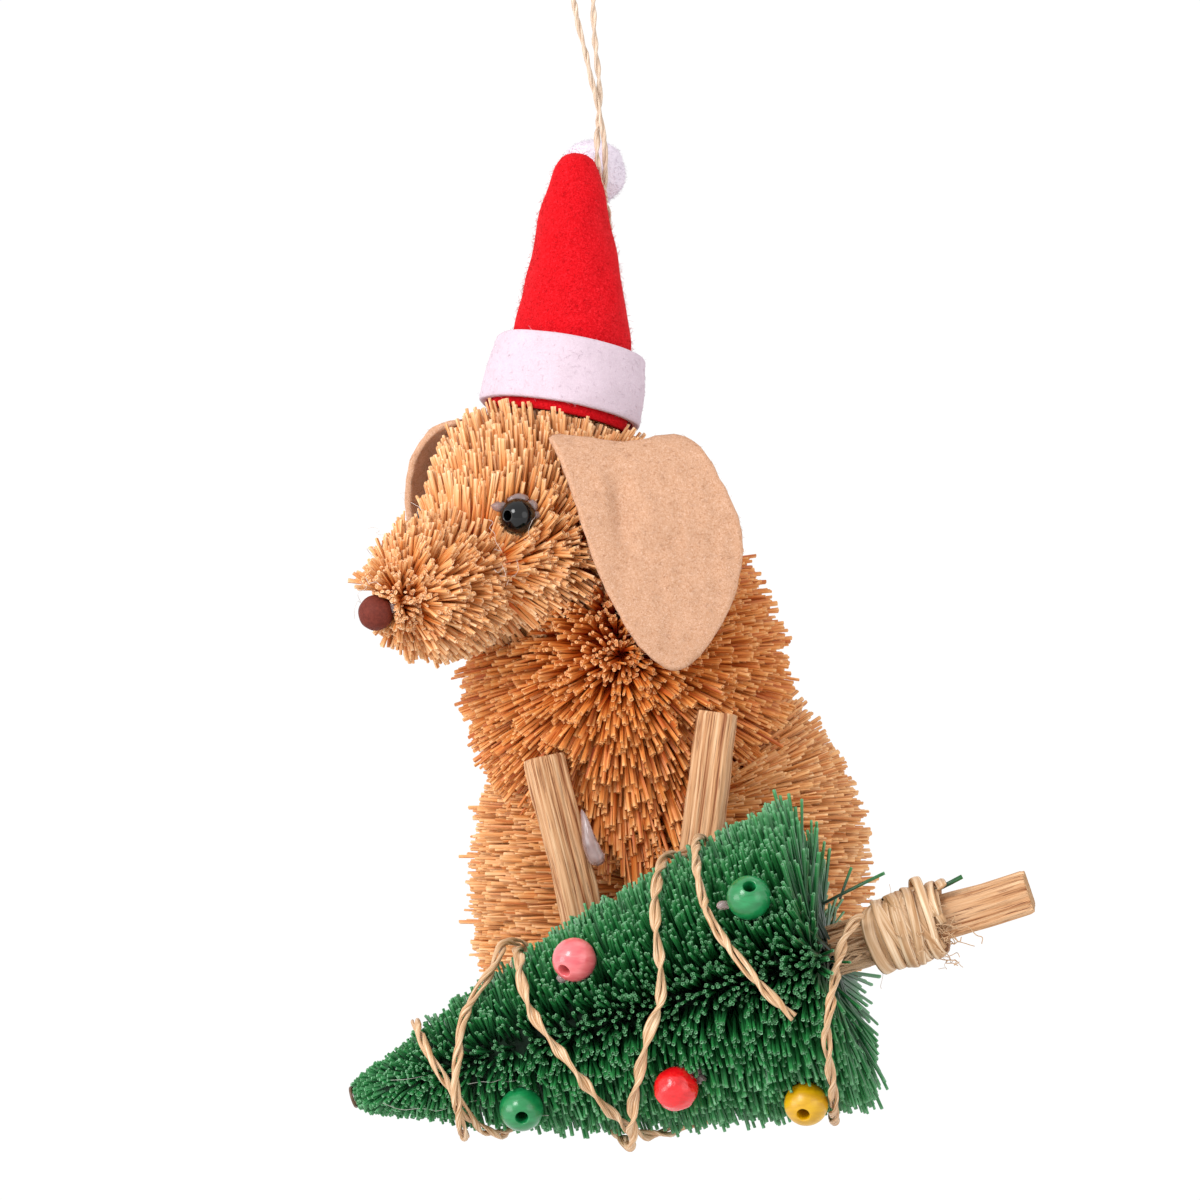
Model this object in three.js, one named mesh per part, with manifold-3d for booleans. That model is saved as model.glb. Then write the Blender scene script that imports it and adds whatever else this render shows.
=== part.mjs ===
// Bristle dog ornament: a small hanging Christmas ornament. A sitting dog is trimmed out of three
// dense brushes of straw-coloured plant bristle, with felt ears, bead eyes and nose and two wood
// forelegs. It wears a felt hat, and a green bristle tree lies across its forelegs.
// Millimetres. X runs to the viewer's right, Y away from the viewer, Z up.
// The origin is the top of the hanging loop, which carries the whole ornament.
import * as THREE from "three";
import { mergeVertices } from "three/addons/utils/BufferGeometryUtils.js";
import Module from "manifold-3d";

const wasm = await Module();
wasm.setup();

const vec = (x, y, z) => new THREE.Vector3(x, y, z);
const degrees = THREE.MathUtils.degToRad;

// Fits
const CLEARANCE = 0.3;
const TUFT_DEPTH = 0.7;

// Places in the figure's own frame: zero is on the chest's axis, level with the lowest fibre
const CHEST_CENTRE = vec(0, 0, 57.8);
const HIND_CENTRE = vec(5.7, 10, 31.9);
const HEAD_CENTRE = vec(-10.7, -5, 76.1);
const EYE_NEAR = vec(-14.1, -19.4, 80.4);
const EYE_FAR = vec(-25.2, -5, 80.5);
const NOSE_CENTRE = vec(-32.3, -25, 67.9);
const EAR_NEAR = vec(-10.2, -17.6, 90.5);
const EAR_FAR = vec(-22.2, -3.6, 92.7);
const HAT_BASE = vec(-9, -3, 92.6);
const TREE_TIP = vec(-34.9, -27, 5.9);
const TREE_BASE = vec(25.4, -36, 24.7);

// Brushes
const CHEST_RADIUS = 21.8;
const CHEST_RISE = 25;
const CHEST_DROP = 21.5;
const HIND_RADIUS = 26.6;
const HIND_RISE = 31.7;
const HIND_DROP = 31.7;
const SEAT_HEIGHT = 9.5;

// Head: each ball is [offset from the head's centre, radius]; their hull is the trimmed head
const HEAD_BALLS = [
  [vec(0, 0, 0), 15.6],
  [vec(-2.2, -1, 7.8), 13.3],
  [vec(5.9, 2, 5.9), 11.4],
  [vec(-13.5, -11.5, -4.9), 10.1],
  [vec(-18.9, -16.4, -6.2), 5],
];

// Beads
const BEAD_RADIUS = 2.28;
const BEAD_HOLE = 0.65;
const NOSE_RADIUS = 2.28;

// Felt
const FELT = 1;
const EAR_WIDTH = 24;
const EAR_LENGTH = 30;
const EAR_STAND = 5;
const EAR_FLARE = 0.17;
const EAR_CREST = 12;
const EAR_FAR_STAND = 9.2;

// Hat
const HAT_HEIGHT = 36;
const HAT_RADIUS = 9.5;
const HAT_TILT = degrees(10);
const HAT_LEAN = degrees(9);
const HAT_SWAY = 3.4;
const CUFF_HEIGHT = 9;
const CUFF_LIFT = 1.2;
const POMPOM_RADIUS = 4.4;
const POMPOM_FUZZ = 0.25;
const POMPOM_SIDE = -1.6;
const POMPOM_BACK = 8;
const POMPOM_DROP = 0.6;

// Wood
const LEG_WIDTH = 4.9;
const LEG_DEPTH = 3.6;
const LEG_LEFT = { top: vec(-10.7, -18, 49.3), foot: vec(-1.5, -21.5, 9.5), turn: degrees(22) };
const LEG_RIGHT = { top: vec(11.8, -19.2, 55), foot: vec(5.2, -21.5, 9.5), turn: degrees(-14) };
const TRUNK_SIDE = 4.9;
const TRUNK_TURN = degrees(12);
const TRUNK_OUT = 27;
const TRUNK_IN = 8;

// Tree
const TREE_RADIUS = 20.4;
const TREE_TIP_RADIUS = 2.5;
const TREE_SWELL = 1.3;
const TREE_SAG = 1.2;
const TREE_BEAD_RADIUS = 2.8;
const TREE_BEAD_HOLE = 0.8;

// Raffia
const TWINE = 1.1;
const TWINE_LIFT = 1.8;
const BIND_TWINE = 1.8;
const BIND_TURNS = 3;
const BIND_PITCH = 1.95;
const BIND_START = 7;

// Hanging cord: a raffia strand, up from the back of the hat, over the loop's top and down again.
// Its two legs are twisted round each other up to well over the hat.
const CORD = 0.85;
const LOOP_TOP = vec(-5.7, 4, 163.6);
const CORD_ROUTE = [
  vec(-3.3, 5.5, 118.2),
  vec(-3.2, 5.5, 119.6),
  vec(-3, 5.1, 123),
  vec(-2.8, 4.4, 126.6),
  vec(-3, 3.7, 130.2),
  vec(-3.6, 3.5, 133.8),
  vec(-4.5, 3.7, 137.4),
  vec(-5.3, 4, 141),
  vec(-6.3, 4, 145),
  vec(-7.1, 4, 149),
  vec(-7.7, 4, 153),
  vec(-8, 4, 157),
  vec(-7.8, 4, 160.6),
  vec(-7, 4, 162.9),
  LOOP_TOP,
  vec(-4.4, 4, 162.9),
  vec(-3.7, 4, 160.6),
  vec(-3.7, 4, 157),
  vec(-4, 4, 153),
  vec(-4.4, 4, 149),
  vec(-4.3, 4, 145),
  vec(-4, 4.1, 141),
  vec(-3.6, 4.3, 137.4),
  vec(-3.6, 4.5, 133.8),
  vec(-3.9, 4.3, 130.2),
  vec(-3.8, 3.8, 126.6),
  vec(-3, 4.1, 123),
  vec(-2.3, 4.9, 119.6),
  vec(-2.2, 5, 118.2),
];

// Facets
const HEAD_GRID = [18, 24];
const CHEST_GRID = [14, 22];
const HIND_GRID = [16, 24];
const TREE_GRID = [16, 22];
const PUFF_GRID = [8, 12];
const ROUND_SIDES = 20;
const BEAD_SIDES = 10;
const BEAD_STEPS = 5;
const EAR_SIDES = 22;
const TWINE_SIDES = 6;
const CORD_SIDES = 8;
const TWINE_STEPS = 43;
const CORD_STEPS = 38;
const BIND_STEPS = 10;

const finish = (color, roughness) => new THREE.MeshStandardMaterial({ color, roughness, metalness: 0 });
const straw = () => finish(0xe0a866, 0.8);
const tan = () => finish(0xe6bd90, 0.95);
const red = () => finish(0xd8141c, 0.95);
const white = () => finish(0xe8e2ea, 0.95);
const wood = () => finish(0xcf9a58, 0.7);
const green = () => finish(0x17673c, 0.75);
const raffia = () => finish(0xd0a570, 0.8);

// Solids

// A closed mesh of triangles from points and faces, with every face turned outwards.
function closed(points, faces) {
  let volume = 0;
  for (const [a, b, c] of faces) {
    volume += points[a].dot(points[b].clone().cross(points[c]));
  }
  const turned = volume < 0 ? faces.map(([a, b, c]) => [a, c, b]) : faces;
  const geometry = new THREE.BufferGeometry().setFromPoints(points);
  return geometry.setIndex(turned.flat());
}

// A skin through rings of equally many points, closed by a point at each end.
function loft(first, rings, last) {
  const points = [first, ...rings.flat(), last];
  const around = rings[0].length;
  const end = points.length - 1;
  const faces = [];
  for (let j = 0; j < around; j += 1) {
    const next = (j + 1) % around;
    faces.push([0, 1 + next, 1 + j]);
    for (let i = 0; i < rings.length - 1; i += 1) {
      const a = 1 + i * around;
      const b = a + around;
      faces.push([a + j, a + next, b + j], [a + next, b + next, b + j]);
    }
    const foot = 1 + (rings.length - 1) * around;
    faces.push([foot + j, foot + next, end]);
  }
  return closed(points, faces);
}

function solidOf(mesh) {
  mesh.updateWorldMatrix(true, false);
  const bare = mesh.geometry.clone();
  bare.deleteAttribute("normal");
  bare.deleteAttribute("uv");
  const merged = mergeVertices(bare.applyMatrix4(mesh.matrixWorld), 1e-3);
  return new wasm.Manifold(
    new wasm.Mesh({
      numProp: 3,
      vertProperties: merged.attributes.position.array,
      triVerts: new Uint32Array(merged.index.array),
    }),
  );
}

// The mesh with its neighbours' room cut out of it; only its main body is kept.
function cut(mesh, ...cutters) {
  let solid = solidOf(mesh);
  for (const cutter of cutters) {
    solid = solid.subtract(solidOf(cutter));
  }
  const bodies = solid.decompose().sort((a, b) => b.volume() - a.volume());
  const { vertProperties, triVerts } = bodies[0].getMesh();
  const geometry = new THREE.BufferGeometry();
  geometry.setAttribute("position", new THREE.BufferAttribute(vertProperties, 3));
  geometry.setIndex(new THREE.BufferAttribute(triVerts, 1));
  mesh.geometry = geometry.applyMatrix4(mesh.matrixWorld.clone().invert());
  return mesh;
}

function named(name, geometry, material, parent) {
  const mesh = new THREE.Mesh(geometry, material);
  mesh.name = name;
  parent.add(mesh);
  return mesh;
}

// The room that a neighbour needs: a shape that is never part of the ornament.
function room(geometry, parent) {
  const mesh = new THREE.Mesh(geometry);
  mesh.matrixWorld.copy(parent.matrixWorld);
  mesh.updateWorldMatrix = () => {};
  return mesh;
}

// Brushes

// Every second point of a brush's skin lies deeper, so the skin reads as trimmed tufts.
const tuft = (row, column, depth) => ((row + column) % 2 ? depth : 0);

// A skin around a centre: reach gives its distance in each direction.
function tufted(centre, [rows, columns], reach, depth) {
  const point = (row, column) => {
    const polar = (Math.PI * row) / rows;
    const turn = (2 * Math.PI * column) / columns;
    const way = vec(Math.sin(polar) * Math.cos(turn), Math.sin(polar) * Math.sin(turn), Math.cos(polar));
    const length = reach(way) - tuft(row, column, depth);
    return way.multiplyScalar(length).add(centre);
  };
  const rings = [];
  for (let row = 1; row < rows; row += 1) {
    rings.push(Array.from({ length: columns }, (_, column) => point(row, column)));
  }
  return loft(point(0, 0), rings, point(rows, 0));
}

// A trimmed brush, or the room it needs when it is grown by a clearance.
function brush(centre, grid, reach, grow) {
  return tufted(centre, grid, (way) => reach(way) + grow, grow ? 0 : TUFT_DEPTH);
}

function eggReach(radius, rise, drop) {
  return (way) => {
    const half = way.z > 0 ? rise : drop;
    return 1 / Math.hypot(way.x / radius, way.y / radius, way.z / half);
  };
}

const chestReach = eggReach(CHEST_RADIUS, CHEST_RISE, CHEST_DROP);
const hindEgg = eggReach(HIND_RADIUS, HIND_RISE, HIND_DROP);

// The hindquarters are trimmed flat under the seat.
function hindReach(way) {
  const floor = HIND_CENTRE.z - SEAT_HEIGHT;
  return way.z < 0 ? Math.min(hindEgg(way), floor / -way.z) : hindEgg(way);
}

// The farthest way out of the head's balls, with the hollows between them filled a little.
function headReach(way) {
  const FILL = 9;
  let sum = 0;
  for (const [offset, radius] of HEAD_BALLS) {
    const along = way.dot(offset);
    const miss = offset.lengthSq() - along * along;
    const exit = miss < radius * radius ? along + Math.sqrt(radius * radius - miss) : 0;
    sum += Math.max(exit, 0) ** FILL;
  }
  return sum ** (1 / FILL);
}

const headShape = (grow) => brush(HEAD_CENTRE, HEAD_GRID, headReach, grow);
const chestShape = (grow) => brush(CHEST_CENTRE, CHEST_GRID, chestReach, grow);
const hindShape = (grow) => brush(HIND_CENTRE, HIND_GRID, hindReach, grow);

// Beads

// A turned bead with its drilled hole along the given way.
function bead(radius, hole, way) {
  const start = Math.asin(hole / radius);
  const profile = [];
  for (let i = 0; i <= BEAD_STEPS; i += 1) {
    const angle = start + ((Math.PI - 2 * start) * i) / BEAD_STEPS;
    profile.push(new THREE.Vector2(radius * Math.sin(angle), -radius * Math.cos(angle)));
  }
  profile.push(profile[0].clone());
  const turn = new THREE.Quaternion().setFromUnitVectors(vec(0, 1, 0), way.clone().normalize());
  return new THREE.LatheGeometry(profile, BEAD_SIDES).applyQuaternion(turn);
}

const ball = (radius) => new THREE.SphereGeometry(radius, BEAD_SIDES, BEAD_STEPS + 2);

// Ears

// The ear's outline: [share of its width, share of its length] in order round the flap.
const EAR_OUTLINE = [
  [0, 0],
  [0.01, 0.06],
  [0.06, 0.24],
  [0.2, 0.62],
  [0.44, 0.94],
  [0.6, 1],
  [0.76, 0.91],
  [0.95, 0.66],
  [1, 0.42],
  [0.915, 0.2],
  [0.77, 0],
  [0.4, 0.02],
];

// A felt flap that stands out from the head at its top edge and then hangs.
function ear(corner, heading, side, stand, flare, grow) {
  const wide = vec(Math.cos(heading), Math.sin(heading), 0);
  const out = vec(Math.sin(heading), -Math.cos(heading), 0).multiplyScalar(side);
  const place = (w, u) => {
    const bend = Math.sqrt(1 - (1 - Math.min(Math.max(u, 0) / EAR_CREST, 1)) ** 2);
    const away = stand * bend + flare * u;
    return corner.clone().addScaledVector(wide, w).addScaledVector(out, away).setZ(corner.z - u);
  };
  const NEAR = 0.5;
  const layer = (w, u, offset) => {
    const across = place(w + NEAR, u).sub(place(w - NEAR, u));
    const down = place(w, u + NEAR).sub(place(w, u));
    const normal = across.cross(down).normalize();
    return place(w, u).addScaledVector(normal, offset);
  };
  const curve = new THREE.CatmullRomCurve3(
    EAR_OUTLINE.map(([w, u]) => vec(w * EAR_WIDTH, u * EAR_LENGTH, 0)),
    true,
  );
  const edge = curve.getPoints(EAR_SIDES).slice(0, EAR_SIDES);
  const middle = vec(EAR_WIDTH / 2, EAR_LENGTH / 2, 0);
  const half = FELT / 2 + grow;
  const ring = (share, offset) =>
    edge.map((p) => {
      const q = middle.clone().lerp(p, share + (grow * 2) / EAR_LENGTH);
      return layer(q.x, q.y, offset);
    });
  const shares = [0.35, 0.7, 1];
  const face = shares.map((share) => ring(share, half));
  const back = shares.map((share) => ring(share, -half)).reverse();
  return loft(layer(middle.x, middle.y, half), [...face, ...back], layer(middle.x, middle.y, -half));
}

const EAR_NEAR_HEADING = degrees(17);
const EAR_FAR_HEADING = degrees(59);
const earNear = (grow) => ear(EAR_NEAR, EAR_NEAR_HEADING, 1, EAR_STAND, EAR_FLARE, grow);
const earFar = (grow) => ear(EAR_FAR, EAR_FAR_HEADING, -1, EAR_FAR_STAND, 0, grow);

// Hat

// The cone's outer radius over its height, as shares of the hem's radius and the whole height.
const HAT_PROFILE = [
  [0, 1],
  [0.32, 0.82],
  [0.54, 0.665],
  [0.76, 0.5],
  [0.9, 0.36],
  [0.975, 0.225],
];

// The cone's centre line bows over to the left above the cuff.
function sway(geometry) {
  const points = geometry.attributes.position;
  const from = CUFF_HEIGHT / HAT_HEIGHT;
  for (let i = 0; i < points.count; i += 1) {
    const bow = THREE.MathUtils.smoothstep(points.getZ(i) / HAT_HEIGHT, from, 1);
    points.setX(i, points.getX(i) - HAT_SWAY * bow);
  }
  return geometry;
}

function hatCone() {
  const outer = HAT_PROFILE.map(([h, r]) => new THREE.Vector2(r * HAT_RADIUS, h * HAT_HEIGHT));
  const inner = HAT_PROFILE.slice(0, -1).map(
    ([h, r]) => new THREE.Vector2(r * HAT_RADIUS - FELT, h * HAT_HEIGHT),
  );
  const peak = new THREE.Vector2(0, HAT_HEIGHT);
  const hollowPeak = new THREE.Vector2(0, HAT_PROFILE.at(-1)[0] * HAT_HEIGHT - FELT);
  const profile = [hollowPeak, ...inner.reverse(), ...outer, peak];
  return sway(new THREE.LatheGeometry(profile, ROUND_SIDES).rotateX(Math.PI / 2));
}

// The cone's outer radius at a height, read off the profile.
function hatRadius(height) {
  const share = height / HAT_HEIGHT;
  const upper = HAT_PROFILE.findIndex(([h]) => h > share);
  const [h0, r0] = HAT_PROFILE[upper - 1];
  const [h1, r1] = HAT_PROFILE[upper];
  return HAT_RADIUS * THREE.MathUtils.mapLinear(share, h0, h1, r0, r1);
}

// The cuff is a loose felt band round the hem, a little wider below than above.
function hatCuff() {
  const SLACK = 0.6;
  const BULGE = 0.3;
  const top = CUFF_LIFT + CUFF_HEIGHT;
  const low = hatRadius(CUFF_LIFT) + CLEARANCE;
  const high = hatRadius(top) + CLEARANCE + SLACK;
  const profile = [
    new THREE.Vector2(low, CUFF_LIFT),
    new THREE.Vector2(low + FELT, CUFF_LIFT),
    new THREE.Vector2((low + high) / 2 + FELT + BULGE, CUFF_LIFT + CUFF_HEIGHT / 2),
    new THREE.Vector2(high + FELT, top),
    new THREE.Vector2(high, top),
    new THREE.Vector2(low, CUFF_LIFT),
  ];
  return new THREE.LatheGeometry(profile, ROUND_SIDES).rotateX(Math.PI / 2);
}

// The head's crown fits inside the hem, so the head gives way to the felt alone.
function hatRoom() {
  const low = hatRadius(CUFF_LIFT) + CLEARANCE + FELT;
  const reach = CUFF_LIFT + CUFF_HEIGHT;
  const inner = HAT_RADIUS - FELT - CLEARANCE;
  const outer = low + FELT + CLEARANCE;
  const profile = [
    new THREE.Vector2(inner, -CLEARANCE),
    new THREE.Vector2(outer, -CLEARANCE),
    new THREE.Vector2(outer, reach),
    new THREE.Vector2(hatRadius(reach) - FELT - CLEARANCE, reach),
    new THREE.Vector2(inner, -CLEARANCE),
  ];
  return new THREE.LatheGeometry(profile, ROUND_SIDES).rotateX(Math.PI / 2);
}

// A felt ball whose skin is combed into small tufts.
function pompomShape() {
  return tufted(vec(0, 0, 0), PUFF_GRID, () => POMPOM_RADIUS, POMPOM_FUZZ);
}

// Wood

// A split stick between two points, with its corners taken off.
function stick(from, to, width, depth, turn, grow) {
  const w = width / 2 + grow;
  const d = depth / 2 + grow;
  const CORNER = 0.35;
  const outline = [
    [-w + CORNER, -d],
    [w - CORNER, -d],
    [w, -d + CORNER],
    [w, d - CORNER],
    [w - CORNER, d],
    [-w + CORNER, d],
    [-w, d - CORNER],
    [-w, -d + CORNER],
  ].map(([x, y]) => new THREE.Vector2(x, y));
  const length = from.distanceTo(to) + 2 * grow;
  const geometry = new THREE.ExtrudeGeometry(new THREE.Shape(outline), {
    depth: length,
    bevelEnabled: false,
  });
  const way = to.clone().sub(from).normalize();
  geometry.rotateZ(turn).translate(0, 0, -grow);
  geometry.applyQuaternion(new THREE.Quaternion().setFromUnitVectors(vec(0, 0, 1), way));
  return geometry.translate(from.x, from.y, from.z);
}

const leg = ({ top, foot, turn }, grow) => stick(foot, top, LEG_WIDTH, LEG_DEPTH, turn, grow);

// Tree: its own frame has Z along the axis from the tip to the trunk, X up and Y towards the viewer

const treeLength = TREE_TIP.distanceTo(TREE_BASE);

// The cone's radius at a height over the tip: a straight taper with a slight swell. The underside
// sags a little more; up is 1 on the upper side and -1 on the underside.
function treeRadius(height, up) {
  const share = Math.min(Math.max(height / treeLength, 0), 1);
  const taper = TREE_TIP_RADIUS + (TREE_RADIUS - TREE_TIP_RADIUS) * share;
  const middle = Math.max(Math.sin(Math.PI * share), 0);
  return taper + TREE_SWELL * middle + TREE_SAG * Math.sqrt(middle) * Math.max(-up, 0);
}

function treeShape() {
  const [rows, columns] = TREE_GRID;
  const rings = [];
  const ringAt = (height, row, share = 1) =>
    Array.from({ length: columns }, (_, column) => {
      const turn = (2 * Math.PI * column) / columns;
      const up = Math.cos(turn);
      const reach = treeRadius(height, up) * share - tuft(row, column, TUFT_DEPTH);
      return vec(reach * up, reach * Math.sin(turn), height);
    });
  for (let row = 0; row <= rows; row += 1) {
    const height = (treeLength * row) / rows;
    rings.push(ringAt(height, row));
  }
  const DISH = 1.2;
  const HALFWAY = 0.5;
  rings.push(ringAt(treeLength - DISH / 2, rows, HALFWAY));
  return loft(vec(0, 0, 0), rings, vec(0, 0, treeLength - DISH));
}

// A place on the tree: height over the tip, angle from the viewer's side up, distance off the skin.
function onTree(height, angle, off) {
  const radius = treeRadius(height, Math.sin(angle)) + off;
  return vec(radius * Math.sin(angle), radius * Math.cos(angle), height);
}

// Tree beads: [name, colour, height over the tip, angle, way of the hole]
const TREE_BEADS = [
  ["tree_bead_coral", 0xe0646a, 34.1, 40, vec(-0.33, 0.79, -0.51)],
  ["tree_bead_green_upper", 0x1d8a49, 58.6, 31, vec(0.55, 0.78, 0.3)],
  ["tree_bead_red", 0xd0202a, 42, -38, vec(0.3, 0, 1)],
  ["tree_bead_green_lower", 0x1d8a49, 21.5, -42, vec(-0.35, 0.93, 0.05)],
  ["tree_bead_yellow", 0xe0b716, 56.9, -58, vec(-0.41, 0.89, -0.18)],
  ["tree_bead_back_red", 0xd0202a, 14.5, 160, vec(0.2, -1, 0)],
];
const BEAD_SINK = 0.2;

// Twine turns: each stop is [height over the tip, angle from the viewer's side up, distance off the skin].
const SNUG = TWINE / 2 + CLEARANCE;
const TWINE_DOWN = [
  [10.4, 90, SNUG],
  [12, 23, SNUG],
  [13.7, -20, SNUG],
  [15, -60, SNUG],
  [16.6, -85, SNUG],
  [19, -140, SNUG],
  [22.5, -215, SNUG],
  [26.3, -282, SNUG],
  [26.9, -337, SNUG],
  [30, -376, SNUG],
  [32.6, -408, SNUG],
  [35.9, -450, SNUG],
  [48.6, -496, SNUG],
  [51.6, -560, SNUG],
  [52.5, -645, SNUG],
  [52.6, -674, SNUG],
  [53, -690, SNUG],
  [55.2, -709, SNUG],
  [57, -721, SNUG],
  [59.9, -736, SNUG],
];
const BOUND = TRUNK_SIDE / Math.SQRT2 + BIND_TWINE + 2 * CLEARANCE + TWINE / 2 - TREE_RADIUS;
const TWINE_UP = [
  [12.2, -85, SNUG],
  [14.1, -21, SNUG],
  [15.9, 10, SNUG],
  [17.4, 35, SNUG],
  [20.3, 59, SNUG],
  [24, 90, SNUG],
  [26.4, 135, SNUG],
  [27.8, 180, SNUG],
  [28.6, 228, SNUG],
  [31.9, 275, SNUG],
  [35.6, 315, SNUG],
  [40.6, 348, SNUG],
  [44.7, 370, SNUG],
  [45.9, 398, SNUG],
  [47.6, 440, SNUG],
  [48, 460, SNUG],
  [49, 472, SNUG],
  [52.6, 483, SNUG],
  [55, 500, SNUG],
  [56, 540, SNUG],
  [58.2, 630, SNUG],
  [61.2, 672, SNUG],
  [63.2, 696, SNUG],
  [64.9, 705, SNUG],
  [66.8, 718, BOUND * 0.5],
  [70, 750, BOUND],
];

// The twine's centre line through the stops, on a smooth curve.
function twineCurve(stops) {
  const SPREAD = 10;
  const COUNT = 90;
  const flat = new THREE.CatmullRomCurve3(
    stops.map(([height, angle, off]) => vec(height, angle / SPREAD, off)),
  );
  return flat.getPoints(COUNT).map((p) => onTree(p.x, degrees(p.y * SPREAD), p.z));
}

// The upper twine lifts over the lower one wherever they cross.
function liftOver(points, lower) {
  const REACH = 4.2 * TWINE;
  return points.map((point) => {
    const near = Math.min(...lower.map((other) => other.distanceTo(point)));
    const lift = TWINE_LIFT * THREE.MathUtils.smoothstep(REACH - near, 0, REACH - TWINE);
    const outwards = vec(point.x, point.y, 0).normalize();
    return point.clone().addScaledVector(outwards, lift);
  });
}

function tube(points, width, sides, steps) {
  const section = Array.from({ length: sides }, (_, i) => {
    const turn = (2 * Math.PI * i) / sides;
    return new THREE.Vector2(Math.cos(turn), Math.sin(turn)).multiplyScalar(width / 2);
  });
  return new THREE.ExtrudeGeometry(new THREE.Shape(section), {
    steps,
    extrudePath: new THREE.CatmullRomCurve3(points),
    bevelEnabled: false,
  });
}

// The winding that ties the trunk: close turns of a raffia bundle round the square stick.
function binding() {
  const radius = TRUNK_SIDE / Math.SQRT2 + CLEARANCE + BIND_TWINE / 2;
  const points = [];
  for (let i = 0; i <= BIND_TURNS * BIND_STEPS; i += 1) {
    const turn = (2 * Math.PI * i) / BIND_STEPS;
    const height = treeLength + BIND_START + (BIND_PITCH * i) / BIND_STEPS;
    points.push(vec(radius * Math.cos(turn), radius * Math.sin(turn), height));
  }
  return tube(points, BIND_TWINE, TWINE_SIDES, BIND_TURNS * BIND_STEPS);
}

function trunk(grow) {
  const from = vec(0, 0, treeLength - TRUNK_IN);
  const to = vec(0, 0, treeLength + TRUNK_OUT);
  return stick(from, to, TRUNK_SIDE, TRUNK_SIDE, TRUNK_TURN, grow);
}

// The ornament

const ornament = new THREE.Group();
const figure = new THREE.Group();
figure.position.copy(LOOP_TOP).negate();
ornament.add(figure);

const hat = new THREE.Group();
hat.position.copy(HAT_BASE);
hat.rotation.set(-HAT_LEAN, HAT_TILT, 0);
figure.add(hat);

const tree = new THREE.Group();
const axis = TREE_BASE.clone().sub(TREE_TIP).normalize();
const across = vec(0, -1, 0).cross(axis).normalize();
tree.position.copy(TREE_TIP);
tree.quaternion.setFromRotationMatrix(
  new THREE.Matrix4().makeBasis(across, axis.clone().cross(across), axis),
);
figure.add(tree);
ornament.updateMatrixWorld(true);

const atPlace = (geometry, place) => geometry.translate(place.x, place.y, place.z);

function buildHead() {
  const head = named("head_bristle", headShape(0), straw(), figure);
  const eyeRoom = (place) => room(atPlace(ball(BEAD_RADIUS + CLEARANCE), place), figure);
  cut(
    head,
    room(hatRoom(), hat),
    room(earNear(CLEARANCE), figure),
    room(earFar(CLEARANCE), figure),
    eyeRoom(EYE_NEAR),
    eyeRoom(EYE_FAR),
    room(atPlace(ball(NOSE_RADIUS + CLEARANCE), NOSE_CENTRE), figure),
  );
  const eye = finish(0x101114, 0.15);
  const eyeWay = vec(-0.63, -0.77, 0);
  const farWay = vec(-0.77, 0.63, 0);
  named("eye_near", atPlace(bead(BEAD_RADIUS, BEAD_HOLE, eyeWay), EYE_NEAR), eye, figure);
  named("eye_far", atPlace(bead(BEAD_RADIUS, BEAD_HOLE, farWay), EYE_FAR), eye.clone(), figure);
  named("nose", atPlace(ball(NOSE_RADIUS), NOSE_CENTRE), finish(0x5c3228, 0.6), figure);
  named("ear_near", earNear(0), tan(), figure);
  named("ear_far", earFar(0), tan(), figure);
}

function buildBody() {
  const legRooms = [LEG_LEFT, LEG_RIGHT].map((side) => room(leg(side, CLEARANCE), figure));
  const earRoom = room(earNear(CLEARANCE), figure);
  const earFarRoom = room(earFar(CLEARANCE), figure);
  const chest = named("chest_bristle", chestShape(0), straw(), figure);
  cut(chest, room(headShape(CLEARANCE), figure), ...legRooms, earRoom, earFarRoom);
  const hind = named("hindquarters_bristle", hindShape(0), straw(), figure);
  cut(hind, room(headShape(CLEARANCE), figure), room(chestShape(CLEARANCE), figure), ...legRooms, earFarRoom);
  named("foreleg_left", leg(LEG_LEFT, 0), wood(), figure);
  named("foreleg_right", leg(LEG_RIGHT, 0), wood(), figure);
}

function buildHat() {
  named("hat_cone", hatCone(), red(), hat);
  named("hat_cuff", hatCuff(), white(), hat);
  const pompom = named("hat_pompom", pompomShape(), white(), hat);
  pompom.position.set(POMPOM_SIDE, POMPOM_BACK, HAT_HEIGHT - POMPOM_DROP);
}

function buildTree() {
  const rooms = [LEG_LEFT, LEG_RIGHT].map((side) => room(leg(side, CLEARANCE), figure));
  rooms.push(room(trunk(CLEARANCE), tree));
  for (const [name, color, height, angle, way] of TREE_BEADS) {
    const place = onTree(height, degrees(angle), BEAD_SINK * TREE_BEAD_RADIUS);
    const shape = bead(TREE_BEAD_RADIUS, TREE_BEAD_HOLE, way);
    named(name, atPlace(shape, place), finish(color, 0.3), tree);
    rooms.push(room(atPlace(ball(TREE_BEAD_RADIUS + CLEARANCE), place), tree));
  }
  cut(named("tree_bristle", treeShape(), green(), tree), ...rooms);
  named("tree_trunk", trunk(0), wood(), tree);
  named("trunk_binding", binding(), raffia(), tree);
  const lower = twineCurve(TWINE_DOWN);
  const upper = liftOver(twineCurve(TWINE_UP), lower);
  named("garland_lower", tube(lower, TWINE, TWINE_SIDES, TWINE_STEPS), raffia(), tree);
  named("garland_upper", tube(upper, TWINE, TWINE_SIDES, TWINE_STEPS), raffia(), tree);
}

function buildCord() {
  named("hanging_cord", tube(CORD_ROUTE, CORD, CORD_SIDES, CORD_STEPS), finish(0xe0c79c, 0.85), figure);
}

buildHead();
buildBody();
buildHat();
buildTree();
buildCord();

export default ornament;
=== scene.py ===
import math

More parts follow.
